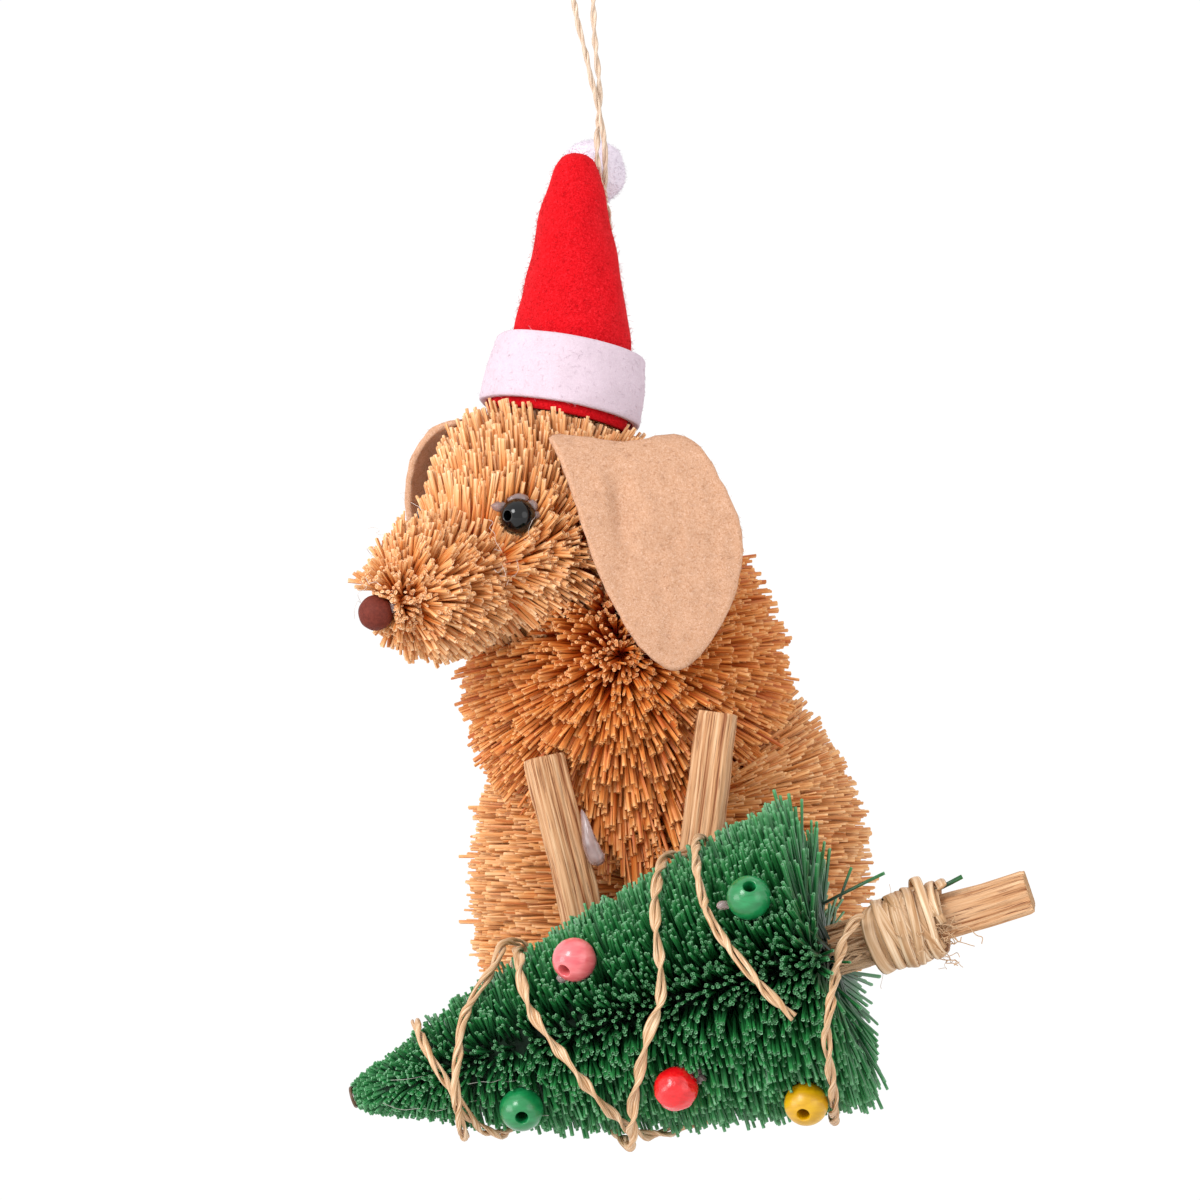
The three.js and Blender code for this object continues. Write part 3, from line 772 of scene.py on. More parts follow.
# The tree's own frame: Z along its axis from the tip, X up and Y towards the viewer
TREE_LENGTH = np.linalg.norm(TREE_BASE - TREE_TIP)
TREE_AXIS = (TREE_BASE - TREE_TIP) / TREE_LENGTH
TREE_UP = unit(np.cross(vec(0, -1, 0), TREE_AXIS))
TREE_FRONT = np.cross(TREE_AXIS, TREE_UP)
TREE_FRAME = np.stack([TREE_UP, TREE_FRONT, TREE_AXIS])


def tree_radius(height, up=0.0):
    """The skin's radius at a height over the tip; up is 1 on the upper side and -1 underneath."""
    share = np.clip(np.asarray(height) / TREE_LENGTH, 0, 1)
    taper = TREE_TIP_RADIUS + (TREE_RADIUS - TREE_TIP_RADIUS) * share
    middle = np.maximum(np.sin(math.pi * share), 0)
    return taper + TREE_SWELL * middle + TREE_SAG * np.sqrt(middle) * np.maximum(-up, 0)


def on_tree(height, angle, off=0.0):
    """A place by height over the tip, angle from the viewer's side up, and distance off the skin."""
    angle = np.radians(angle)
    radius = tree_radius(height, np.sin(angle)) + off
    up = radius * np.sin(angle)
    front = radius * np.cos(angle)
    local = np.stack([up, front, height * np.ones_like(radius)], -1)
    return TREE_TIP + local @ TREE_FRAME


def bead_places():
    """The middle of each bead on the tree, by name."""
    off = BEAD_SINK * TREE_BEAD_RADIUS
    return {name: on_tree(vec(h), vec(a), off)[0] for name, _, h, a, _ in TREE_BEADS}


def tree_local(points):
    """Places in the tree's own frame."""
    return (points - TREE_TIP) @ TREE_FRAME.T


# The hat's own frame
LEAN = np.array(
    [
        [1, 0, 0],
        [0, math.cos(HAT_LEAN), math.sin(HAT_LEAN)],
        [0, -math.sin(HAT_LEAN), math.cos(HAT_LEAN)],
    ]
)
TILT = np.array(
    [
        [math.cos(HAT_TILT), 0, math.sin(HAT_TILT)],
        [0, 1, 0],
        [-math.sin(HAT_TILT), 0, math.cos(HAT_TILT)],
    ]
)
HAT_FRAME = LEAN @ TILT


def hat_place(points):
    """Places on the figure, from the hat's own frame."""
    return HAT_BASE + points @ HAT_FRAME.T


def hat_radius(height):
    """The cone's outer radius at a height over its hem."""
    shares, sizes = zip(*HAT_PROFILE)
    return HAT_RADIUS * np.interp(np.asarray(height) / HAT_HEIGHT, shares, sizes)


def hat_sway(height):
    """How far the cone leans to the viewer's left at a height over its hem."""
    start = CUFF_HEIGHT / HAT_HEIGHT
    t = np.clip((height / HAT_HEIGHT - start) / (1 - start), 0, 1)
    return HAT_SWAY * t * t * (3 - 2 * t)


# Rooms that fibres keep out of


def ball_room(centre, radius):
    return lambda points: np.linalg.norm(points - centre, axis=1) < radius


def shape_room(centre, reach, grow):
    def inside(points):
        away = points - centre
        far = np.linalg.norm(away, axis=1)
        return far < reach(away / far[:, None]) + grow

    return inside


def turned(turn):
    """The directions across, deep and along, turned about the last by some degrees."""
    sine = math.sin(math.radians(turn))
    cosine = math.cos(math.radians(turn))
    return np.array([[cosine, sine, 0], [-sine, cosine, 0], [0, 0, 1]])


def axes_along(way, turn=0):
    """The directions across, deep and along of a piece that points along a way."""
    axis = np.cross(vec(0, 0, 1), way)
    sine, cosine = np.linalg.norm(axis), way[2]
    cross = np.array([[0, -axis[2], axis[1]], [axis[2], 0, -axis[0]], [-axis[1], axis[0], 0]])
    bring = np.eye(3) + cross + cross @ cross * ((1 - cosine) / max(sine**2, 1e-12))
    return turned(turn) @ bring.T


def leg_room(leg):
    """The room of a foreleg and a little round it."""
    start, end, turn = leg
    axes = axes_along(unit(end - start), turn)
    half = vec(LEG_WIDTH, LEG_DEPTH, np.linalg.norm(end - start)) / 2

    def inside(points):
        local = (points - start) @ axes.T - (0, 0, half[2])
        return (np.abs(local) < half + ROOM_GROW).all(1)

    return inside


def ear_axes(ear):
    """The directions along a flap's width and out from the head."""
    heading = math.radians(ear["heading"])
    wide = vec(math.cos(heading), math.sin(heading), 0)
    out = vec(math.sin(heading), -math.cos(heading), 0) * ear["side"]
    return wide, out


def ear_away(ear, w, u):
    """How far the flap stands out at a place on it, with the soft dent of the near one."""
    bend = np.sqrt(1 - (1 - np.clip(u / EAR_CREST, 0, 1)) ** 2)
    across = (w - EAR_DENT_PLACE[0]) / EAR_DENT_SIZE[0]
    down = (u - EAR_DENT_PLACE[1]) / EAR_DENT_SIZE[1]
    dent = ear["dent"] * np.exp(-(across**2) - down**2)
    return ear["stand"] * bend + ear["flare"] * u - dent


EAR_EDGE = smooth_curve([(w * EAR_WIDTH, u * EAR_LENGTH) for w, u in EAR_OUTLINE], 10, closed=True)
EAR_MIDDLE = vec(EAR_WIDTH / 2, EAR_LENGTH / 2)


def ear_room(ear):
    """The flap's own room and what lies just outside it."""
    wide, out = ear_axes(ear)
    rim = EAR_EDGE - EAR_MIDDLE
    angles = np.arctan2(rim[:, 1], rim[:, 0])
    order = np.argsort(angles)
    reach = np.linalg.norm(rim, axis=1)[order]
    angles = angles[order]

    def inside(points):
        away = points - ear["corner"]
        w, u, off = away @ wide, -away[:, 2], away @ out
        x, y = w - EAR_MIDDLE[0], u - EAR_MIDDLE[1]
        limit = np.interp(np.arctan2(y, x), angles, reach, period=2 * math.pi)
        over = off - ear_away(ear, w, np.maximum(u, 0))
        within = np.hypot(x, y) < limit + ROOM_GROW
        return within & (over > -FELT / 2 - ROOM_GROW) & (over < EAR_ROOM_OUT)

    return inside


def hat_room():
    """The felt's room. Fibres may stand before the bare hem, up to the cuff."""

    def inside(points):
        x, y, z = ((points - HAT_BASE) @ HAT_FRAME).T
        r = np.hypot(x, y)
        skin_radius = hat_radius(np.maximum(z, 0))
        outer = np.where(z < CUFF_LIFT - 0.4, skin_radius + 0.15, HAT_RADIUS + 3)
        return (z > -0.2) & (r > skin_radius - FELT - 0.25) & (r < outer)

    return inside


# Twine paths

FLAT_SPREAD = 10
BOUND = TRUNK_SIDE / math.sqrt(2) + BIND_TWINE + 2 * CLEARANCE + TWINE / 2 - TREE_RADIUS


def twine_path(stops):
    """A path round the tree through stops of height, angle and distance off the skin."""
    flat = smooth_curve([(h, a / FLAT_SPREAD, off) for h, a, off in stops], 9)
    return on_tree(flat[:, 0], flat[:, 1] * FLAT_SPREAD, flat[:, 2])


def lift_over(points, lower):
    """The upper twine lifts over the lower one wherever they cross."""
    reach = 4.2 * TWINE
    near = np.linalg.norm(points[:, None] - lower[None], axis=2).min(1)
    t = np.clip((reach - near) / (reach - TWINE), 0, 1)
    lift = TWINE_LIFT * t * t * (3 - 2 * t)
    local = tree_local(points)
    local[:, :2] *= 1 + (lift / np.linalg.norm(local[:, :2], axis=1))[:, None]
    return TREE_TIP + local @ TREE_FRAME


GARLAND_LOWER = twine_path([(h, a, SNUG) for h, a in TWINE_DOWN])
GARLAND_UPPER = lift_over(
    twine_path([(h, a, SNUG) for h, a in TWINE_UP] + [(h, a, BOUND * s) for h, a, s in TWINE_LAST]),
    GARLAND_LOWER,
)


# Materials


def rgb(code):
    """A colour from its six hex digits, as the linear values that shaders take."""
    parts = [int(code[i : i + 2], 16) / 255 for i in (0, 2, 4)]
    linear = [p / 12.92 if p <= 0.04045 else ((p + 0.055) / 1.055) ** 2.4 for p in parts]
    return (*linear, 1)


class Look:
    """A material whose nodes are added one by one."""

    def __init__(self, name, roughness, **inputs):
        self.material = bpy.data.materials.new(name)
        self.material.use_nodes = True
        self.nodes = self.material.node_tree.nodes
        self.shader = self.nodes["Principled BSDF"]
        self.shader.inputs["Roughness"].default_value = roughness
        for label, value in inputs.items():
            self.shader.inputs[label.replace("_", " ")].default_value = value

    def node(self, kind, inputs, **settings):
        made = self.nodes.new("ShaderNode" + kind)
        for label, value in settings.items():
            setattr(made, label, value)
        for label, value in inputs.items():
            if isinstance(value, bpy.types.NodeSocket):
                self.material.node_tree.links.new(value, made.inputs[label])
            else:
                made.inputs[label].default_value = value
        return made

    def place(self, scale):
        """Object coordinates, scaled, in millimetres."""
        where = self.node("TexCoord", {}).outputs["Object"]
        size = [s / MM for s in (scale if isinstance(scale, tuple) else (scale,) * 3)]
        return self.node("Mapping", {"Vector": where, "Scale": size}).outputs[0]

    def map(self, scale):
        """The piece's own map, scaled."""
        where = self.node("UVMap", {}, uv_map=UV_NAME).outputs[0]
        return self.node("Mapping", {"Vector": where, "Scale": scale}).outputs[0]

    def noise(self, where, detail=2.0, rough=0.5, distort=0.0):
        inputs = {"Vector": where, "Scale": 1, "Detail": detail}
        inputs |= {"Roughness": rough, "Distortion": distort}
        return self.node("TexNoise", inputs).outputs[0]

    def ramp(self, value, stops):
        """A value as colours, or as greys where a stop's colour is a number."""
        made = self.node("ValToRGB", {"Fac": value})
        band = made.color_ramp.elements
        while len(band) < len(stops):
            band.new(0.5)
        for element, (at, colour) in zip(band, stops):
            element.position = at
            element.color = rgb(colour) if isinstance(colour, str) else (colour, colour, colour, 1)
        return made.outputs[0]

    def mix(self, blend, a, b, share=1.0):
        made = self.node("Mix", {}, data_type="RGBA", blend_type=blend)
        for index, value in ((0, share), (6, a), (7, b)):
            if isinstance(value, bpy.types.NodeSocket):
                self.material.node_tree.links.new(value, made.inputs[index])
            else:
                made.inputs[index].default_value = value
        return made.outputs[2]

    def colour(self, socket):
        self.material.node_tree.links.new(socket, self.shader.inputs["Base Color"])

    def bump(self, height, strength, distance):
        inputs = {"Height": height, "Strength": strength, "Distance": distance * MM}
        made = self.node("Bump", inputs)
        self.material.node_tree.links.new(made.outputs[0], self.shader.inputs["Normal"])


def bristle_look(name, stops, along, shades, roughness=0.5, shine=0.45):
    """Stalks coloured from root to cut end, each with a tone of its own. Painted shade darkens
    each stalk towards its root, deep in the brush; a painted highlight lightens the rim of its
    cut end, and painted shade darkens the cut end's hollow middle.

    along has a colour for each of the stops, and shades has a dark, a middle and a light one."""
    look = Look(name, roughness, Specular_IOR_Level=shine)
    where = look.map((1, 1, 1))
    height = look.node("SeparateXYZ", {"Vector": where}).outputs[1]
    base = look.ramp(height, list(zip(stops, along.split())))
    shades = list(zip((0.3, 0.5, 0.7), shades.split()))
    each = look.ramp(look.noise(look.map((150, 0.6, 1)), 1.0), shades)
    streak = look.ramp(look.noise(look.map((420, 7, 1)), 2.0), [(0.3, 0.86), (0.7, 1.0)])
    look.colour(look.mix("MULTIPLY", look.mix("MULTIPLY", base, each), streak))
    return look.material


def shade_core_look(name, dark, light):
    """The dark inside of a brush, where fibres stand too close to be told apart: painted shade."""
    look = Look(name, 0.95)
    look.colour(look.ramp(look.noise(look.place(0.9)), [(0.35, dark), (0.7, light)]))
    return look.material


def felt_look(name, dark, base, light, grain, fleck=None):
    """Pressed wool: short fibres lie every way, seen as fine mottling, nap and flecks."""
    look = Look(name, 0.95, Specular_IOR_Level=0.05, Sheen_Weight=0.03)
    fine = look.noise(look.place(3.4 * grain), 3.0, 0.65, 1.4)
    broad = look.noise(look.place(0.32 * grain), 2.0)
    base_colour = look.ramp(fine, [(0.3, dark), (0.5, base), (0.72, light)])
    tone = look.ramp(broad, [(0.3, 0.93), (0.7, 1.0)])
    colour = look.mix("MULTIPLY", base_colour, tone)
    if fleck:
        spots = look.ramp(look.noise(look.place(2.6), 0.0), [(0.83, 0.0), (0.86, 0.6)])
        colour = look.mix("MIX", colour, rgb(fleck), spots)
    look.colour(colour)
    look.bump(fine, 0.4, 0.18)
    return look.material


def wood_look(name, dark, base, light):
    """Split cane-like wood with long grain and short dark pores."""
    look = Look(name, 0.62, Specular_IOR_Level=0.3)
    across, along = 26, 1.2
    grain = look.noise(look.map((across, along, 1)), 4.0, 0.62, 0.3)
    pores = look.noise(look.map((across * 4.2, along * 5, 1)), 2.0, 0.7)
    colour = look.ramp(grain, [(0.36, dark), (0.46, base), (0.66, light)])
    dots = look.ramp(pores, [(0.34, "7a4016"), (0.42, "ffffff")])
    look.colour(look.mix("MULTIPLY", colour, dots, 0.85))
    look.bump(look.mix("ADD", grain, pores), 0.8, 0.2)
    return look.material


def raffia_look(name, dark, base, light, along):
    """Dried leaf strip: satin, with long fine fibres."""
    look = Look(name, 0.48, Specular_IOR_Level=0.4)
    strands = look.noise(look.map((34, along, 1)), 3.0, 0.6)
    look.colour(look.ramp(strands, [(0.32, dark), (0.5, base), (0.68, light)]))
    look.bump(strands, 0.5, 0.08)
    return look.material


def paint_look(name, dark, base, light, roughness=0.28, coat=0.4, wrinkle=0.0):
    """Painted wood bead: thin streaky paint that lets the turned grain show."""
    look = Look(name, roughness, Coat_Weight=coat, Coat_Roughness=0.12)
    streak = look.noise(look.place((0.35, 0.35, 1.3)), 3.0, 0.6, 0.5)
    look.colour(look.ramp(streak, [(0.3, dark), (0.5, base), (0.72, light)]))
    look.bump(look.noise(look.place(1.9), 3.0, 0.6), 0.25 + wrinkle, 0.1)
    return look.material


def glue_look():
    """Hot glue that has set milky and glossy."""
    look = Look("hot_glue", 0.08, Transmission_Weight=0.6, IOR=1.4, Coat_Weight=0.5)
    look.colour(look.ramp(look.noise(look.place(0.8)), [(0.3, "b09490"), (0.7, "ccb6b4")]))
    look.bump(look.noise(look.place(0.7), 1.0), 0.15, 0.15)
    return look.material


def plain_look(name, dark, light, roughness, scale=3.0, bump=0.2, specular=0.3):
    """A slightly uneven surface between two near colours."""
    look = Look(name, roughness, Specular_IOR_Level=specular)
    grain = look.noise(look.place(scale), 3.0, 0.6)
    look.colour(look.ramp(grain, [(0.35, dark), (0.65, light)]))
    look.bump(grain, bump, 0.1)
    return look.material


# Straw ramps from root to cut end: the dark first stops are painted shade deep among the fibres, the
# light stop at 0.92 is a painted highlight on the cut end's rim, and the last stop is painted shade in
# its hollow middle
STRAW_STOPS = (0.0, 0.35, 0.6, 0.86, 0.92, 1.0)
HEAD_STRAW = bristle_look(
    "head_straw", STRAW_STOPS, "bc4404 d87420 e8a664 f2c494 ffe2c0 cc8444", "d89e62 f8e6cc ffffff"
)
CHEST_STRAW = bristle_look(
    "chest_straw", STRAW_STOPS, "b22c00 c44804 da7820 eaa25c fcd09a b85c20", "c88a4c f4dcb8 ffffff"
)
HIND_STRAW = bristle_look(
    "hind_straw", STRAW_STOPS, "b43a04 cc6418 de964e e6b07a f8d2a4 b86c34", "d49c62 f6e4c8 ffffff"
)
# Green ramp from root to cut end: the dark first stops are painted shade deep among the fibres, the pale
# stop at 0.925 is a painted highlight on the cut end's rim, and the last stop is painted shade in its
# hollow middle
GREEN_STOPS = (0.0, 0.3, 0.65, 0.87, 0.925, 1.0)
TREE_GREEN = bristle_look(
    "tree_green",
    GREEN_STOPS,
    "102818 144426 1e6a38 2e8a48 90cc9c 0e2c18",
    "98b49e d8e8dc ffffff",
    0.42,
    0.6,
)
# Dark insides of the brushes: painted shade deep among the fibres
STRAW_SHADE_CORE = shade_core_look("straw_shade_core", "6e340e", "8c4a1a")
GREEN_SHADE_CORE = shade_core_look("green_shade_core", "0a1c10", "10301a")
TAN_FELT = felt_look("tan_felt", "b07c58", "c99c7e", "deb8a0", 1.3, "94644a")
RED_FELT = felt_look("red_felt", "a6040c", "cc0e18", "ea2a34", 1.2)
WHITE_FELT = felt_look("white_felt", "c8b4be", "d0bcc8", "d8c8d0", 1.4)
# The pompom is painted lighter than the cuff's white felt: painted light that lifts it out of its shade
# behind the hat
POMPOM_LIT_WOOL = felt_look("pompom_wool", "dacedb", "e2d6e2", "e8dee8", 1.4)
WOOD = wood_look("split_wood", "7c4018", "c28e62", "e6c098")
END_GRAIN = plain_look("end_grain", "9a6c44", "c49c70", 0.85, 2.2, 0.4)
RAFFIA = raffia_look("raffia", "9c6a3a", "c69e76", "ecd2b2", 60)
CORD_RAFFIA = raffia_look("cord_raffia", "a08068", "ccb29a", "e8d8c8", 40)
CORAL = paint_look("coral_paint", "d25860", "dc686c", "e47c7e")
RED_PAINT = paint_look("red_paint", "c0040c", "d80a14", "e6161e", 0.2, 0.4, 0.9)
GREEN_PAINT = paint_look("green_paint", "0c6a36", "127840", "1e884e", 0.28, 0.3)
YELLOW_PAINT = paint_look("yellow_paint", "b88800", "c89600", "d6a800", 0.34, 0.1)
PAINTS = {"coral": CORAL, "red": RED_PAINT, "green": GREEN_PAINT, "yellow": YELLOW_PAINT}
BLACK_BEAD = plain_look("black_bead", "050506", "0a0a0c", 0.1, 2.0, 0.05, 0.42)
NOSE_LOOK = plain_look("nose_ball", "5e241a", "702e22", 0.66, 2.6, 0.35, 0.2)
GLUE = glue_look()
HAIR = plain_look("glue_thread", "c8b8b0", "e4d8d0", 0.4)
GREY_HAIR = plain_look("grey_hair", "8a8a80", "a4a49a", 0.5)
WIRE = plain_look("wire", "4a3020", "6a4c34", 0.4, 2.0, 0.2, 0.5)


# Camera, lights and floor


def add_camera():
    """The photograph's view, level and straight ahead."""
    data = bpy.data.cameras.new("photo_view")
    data.sensor_width = SENSOR
    data.lens = SENSOR * VIEW_DISTANCE / VIEW_WIDTH
    data.clip_start, data.clip_end = CAMERA_CLIP
    camera = bpy.data.objects.new("photo_view", data)
    camera.location = metres(CAMERA_PLACE)
    camera.rotation_euler = (math.radians(90), 0, 0)
    bpy.context.scene.collection.objects.link(camera)
    bpy.context.scene.camera = camera


def add_light(name, place, size, power):
    """A soft round lamp that looks at the middle of the figure."""
    data = bpy.data.lights.new(name, "AREA")
    data.shape = "DISK"
    data.size = size
    data.energy = power
    lamp = bpy.data.objects.new(name, data)
    lamp.location = metres(LIT_PLACE) + place
    back = unit(vec(*place))
    turn = math.atan2(back[1], back[0])
    lamp.rotation_euler = (math.acos(back[2]), 0, turn + math.pi / 2)
    bpy.context.scene.collection.objects.link(lamp)


def add_studio():
    """A white room, its lamps and a floor under the hanging figure."""
    world = bpy.data.worlds.new("studio")
    world.use_nodes = True
    colour, strength = world.node_tree.nodes["Background"].inputs[:2]
    colour.default_value = (1, 1, 1, 1)
    strength.default_value = SKY_STRENGTH
    bpy.context.scene.world = world
    bpy.context.scene.view_settings.view_transform = "Standard"
    for lamp in LAMPS:
        add_light(*lamp)
    mesh = bpy.data.meshes.new("floor")
    corners = FLOOR_HALF * vec([-1, -1, 0], [1, -1, 0], [1, 1, 0], [-1, 1, 0]) + (0, 0, FLOOR_LEVEL)
    mesh.from_pydata(corners.tolist(), [], [(0, 1, 2, 3)])
    look = Look("floor_paper", 0.9)
    look.colour(look.ramp(look.noise(look.place(0.004)), [(0.3, 0.8), (0.7, 0.84)]))
    mesh.materials.append(look.material)
    floor = bpy.data.objects.new("floor", mesh)
    bpy.context.scene.collection.objects.link(floor)


# Hanging cord


def add_cord():
    route = np.array(CORD_ROUTE, float)
    path = smooth_curve(route, 6)
    points, faces, uvs = plied(path, CORD, CORD_PITCH, CORD_FLAT, seed=3)
    cord = piece("hanging_twine", points, faces, CORD_RAFFIA, uvs)
    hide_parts("hanging_cord")


# Dog


def beside_nose(points):
    """Where the muzzle is trimmed short, so that the nose stands clear of it."""
    return (points[:, 0] < NOSE_CENTRE[0] - 0.4) & (points[:, 2] < NOSE_CENTRE[2] + 3)


def add_head():
    blocks = [
        hat_room(),
        ear_room(EAR_NEAR),
        ear_room(EAR_FAR),
        ball_room(EYE_NEAR, BEAD_RADIUS + BEAD_GROW),
        ball_room(EYE_FAR, BEAD_RADIUS + BEAD_GROW),
        ball_room(NOSE_CENTRE, NOSE_RADIUS + BEAD_GROW),
        beside_nose,
    ]
    fur = brush(HEAD_CENTRE, head_reach, HEAD_CORE, HEAD_FUR, blocks)
    inside = core_skin(HEAD_CENTRE, head_reach, INSIDE_SHARE["head"])
    looks = [HEAD_STRAW, STRAW_SHADE_CORE]
    brush_piece("head_fibres", "head_bristle", fur, inside, looks)


def add_body():
    legs = [leg_room(LEG_LEFT), leg_room(LEG_RIGHT)]
    ears = [ear_room(EAR_NEAR), ear_room(EAR_FAR)]
    head = shape_room(HEAD_CENTRE, head_reach, HEAD_SINK)
    fur = brush(CHEST_CENTRE, chest_reach, CHEST_CORE, CHEST_FUR, [*legs, *ears], [head])
    fur = joined([fur, apron(legs)])
    inside = core_skin(CHEST_CENTRE, chest_reach, INSIDE_SHARE["chest"])
    looks = [CHEST_STRAW, STRAW_SHADE_CORE]
    brush_piece("chest_fibres", "chest_bristle", fur, inside, looks)
    chest = shape_room(CHEST_CENTRE, chest_reach, CHEST_SINK)
    fur = brush(HIND_CENTRE, hind_reach, HIND_CORE, HIND_FUR, [*legs, ears[1]], [head, chest])
    inside = core_skin(HIND_CENTRE, hind_reach, INSIDE_SHARE["hind"])
    looks = [HIND_STRAW, STRAW_SHADE_CORE]
    brush_piece("hindquarters_fibres", "hindquarters_bristle", fur, inside, looks)


def bead_shape(radius, hole, way, centre, sides=40, wrinkle=0.0):
    """A turned bead with a drilled hole whose rims are rounded."""
    start = math.asin(hole / radius)
    arc = np.linspace(start * 1.25, math.pi - start * 1.25, 22)
    outer = np.stack([radius * np.sin(arc), -radius * np.cos(arc)], 1)
    depth = radius * math.cos(start)
    rim = [(hole * 1.1, depth * 0.985), (hole, depth * 0.93), (hole * 0.97, depth * 0.4)]
    rim += [(hole * 0.97, -depth * 0.4), (hole, -depth * 0.93), (hole * 1.1, -depth * 0.985)]
    profile = np.vstack([outer, rim])
    turn = np.linspace(0, 2 * math.pi, sides, endpoint=False)
    r, h = profile[:, :1], profile[:, 1:]
    local = np.stack([r * np.cos(turn), r * np.sin(turn), h * np.ones(sides)], 2).reshape(-1, 3)
    if wrinkle:
        skin_part = np.linalg.norm(local, axis=1, keepdims=True) > 0.9 * radius
        local = local * (1 + wrinkle * skin_part * ripple(local, 1.5, 5)[:, None])
    quads, _ = grid(len(profile), sides, close_rows=True)
    return centre + local @ axes_along(unit(way)), [quads]


def dimpled(ways):
    """The nose's radius in each direction."""
    return NOSE_RADIUS * (1 + 0.012 * ripple(ways, 0.9, 3))


def add_face():
    for name, place, way in (("near", EYE_NEAR, EYE_NEAR_WAY), ("far", EYE_FAR, EYE_FAR_WAY)):
        eye = piece(f"eye_bead_{name}", *bead_shape(BEAD_RADIUS, BEAD_HOLE, way, place), BLACK_BEAD)
        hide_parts(f"eye_{name}")
    nose = piece("nose_ball", *skin(NOSE_CENTRE, dimpled, 30, 40)[:2], NOSE_LOOK)
    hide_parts("nose")


def ear_shape(ear):
    """A felt flap with soft edges: rings from its middle out over the rim and back."""
    wide, out = ear_axes(ear)
    axes = np.stack([wide, out, vec(0, 0, -1)])
    face = np.linspace(0.03, 0.975, 26)
    shares = np.concatenate([face, [0.992, 1.0, 0.992], face[::-1]])
    offs = np.concatenate([np.ones(26), [0.72, 0, -0.72], -np.ones(26)]) * FELT / 2
    near = 0.4

    def place(w, u):
        return ear["corner"] + np.stack([w, ear_away(ear, w, u), u], 1) @ axes

    rows = []
    for share, off in zip(shares, offs):
        w, u = (EAR_MIDDLE + (EAR_EDGE - EAR_MIDDLE) * share).T
        across = place(w + near, u) - place(w - near, u)
        down = place(w, np.maximum(u, 0) + near) - place(w, np.maximum(u, 0))
        normal = unit(np.cross(across, down))
        rows.append(place(w, u) + normal * off)
    points = np.vstack(rows)
    points = points + 0.06 * ripple_vectors(points, 2.6, 70)
    faces, _ = capped(len(shares), len(EAR_EDGE))
    return points, faces


def nap(name, points, quads, look, count, length, seed, lie, width=WOOL):
    """Loose wool fibres that lie on a felt piece's quads and stand up by at most lie."""
    rng = np.random.default_rng(seed)
    places, out = scatter(points, quads, count, rng)
    lean = unit(np.cross(out, unit(rng.normal(size=out.shape))))
    way = unit(lean + out * rng.uniform(0.05, lie, (count, 1)))
    roots = places - out * 0.05
    tips = places + way * length * rng.uniform(0.4, 1.3, (count, 1))
    wool = fibres(roots, tips, np.full(count, width), rng, sides=3, flat=1, bow=0, point=0.5)
    return piece(name, *wool[:2], look)


def add_ears():
    for name, ear in (("near", EAR_NEAR), ("far", EAR_FAR)):
        points, faces = ear_shape(ear)
        flap = piece(f"ear_felt_{name}", points, faces, TAN_FELT)
        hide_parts(f"ear_{name}")
        wool = nap(f"ear_nap_{name}", points, faces[0], TAN_FELT, 1900, 0.7, seed=80, lie=0.6)


# Hat


def band(inner, outer, heights, slack, seed):
    """A closed felt band or cone round the hat's axis, uneven by slack, from its radii."""
    turn = np.linspace(0, 2 * math.pi, HAT_SIDES, endpoint=False)
    radii = np.concatenate([outer, inner[::-1]])
    levels = np.concatenate([heights, heights[::-1]])
    r = radii[:, None] * np.ones(HAT_SIDES)
    h = levels[:, None] * np.ones(HAT_SIDES)
    soft = ripple(np.stack([r * np.cos(turn), r * np.sin(turn), h], 2).reshape(-1, 3), 7, seed)
    r = r + slack * soft.reshape(r.shape)
    x = r * np.cos(turn) - hat_sway(h)
    local = np.stack([x, r * np.sin(turn), h], 2).reshape(-1, 3)
    quads, _ = grid(len(radii), HAT_SIDES, close_rows=True)
    return hat_place(local), [quads]


def cuff_shape():
    """The white band: its rims are rounded and its middle swells a little."""
    low = hat_radius(CUFF_LIFT) + CLEARANCE
    high = hat_radius(CUFF_LIFT + CUFF_HEIGHT) + CLEARANCE + CUFF_SLACK
    share = np.concatenate([[0, 0.004], np.linspace(0.02, 0.98, 22), [0.996, 1]])
    edge = np.concatenate([[0.25, 0.12], np.zeros(22), [0.12, 0.25]])
    inside = low + (high - low) * share + edge
    swell = 0.3 * np.sin(math.pi * share)
    outside = inside + FELT - 2 * edge + swell
    return band(inside, outside, CUFF_LIFT + CUFF_HEIGHT * share, slack=0.12, seed=21)


def add_hat():
    heights = np.concatenate([np.linspace(0, 0.97, 50), [0.983, 0.993, 0.998]]) * HAT_HEIGHT
    outer = hat_radius(heights)
    outer[-3:] = HAT_RADIUS * vec(0.19, 0.12, 0.04)
    smooth = np.convolve(np.pad(outer, 3, mode="edge"), np.ones(7) / 7, "valid")
    outer[4:-6] = smooth[4:-6]
    inner = np.maximum(outer - FELT, 0.02)
    points, faces = band(inner, outer, heights, slack=0.16, seed=9)
    cone = piece("hat_felt", points, faces, RED_FELT)
    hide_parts("hat_cone")
    outside = faces[0][: (len(heights) - 1) * HAT_SIDES]
    cuff_points, cuff_faces = cuff_shape()
    cuff = piece("hat_cuff_felt", cuff_points, cuff_faces, WHITE_FELT)
    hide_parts("hat_cuff")
    red_nap = nap("hat_nap", points, outside, RED_FELT, 3600, 0.8, seed=90, lie=0.9, width=0.05)
    cuff_quads = cuff_faces[0]
    white_nap = nap("cuff_nap", cuff_points, cuff_quads, WHITE_FELT, 1500, 0.7, seed=91, lie=0.3)


def puffed(ways):
    """The pompom's radius in each direction."""
    return POMPOM_RADIUS * (0.97 + 0.02 * ripple(ways, 0.8, 4))


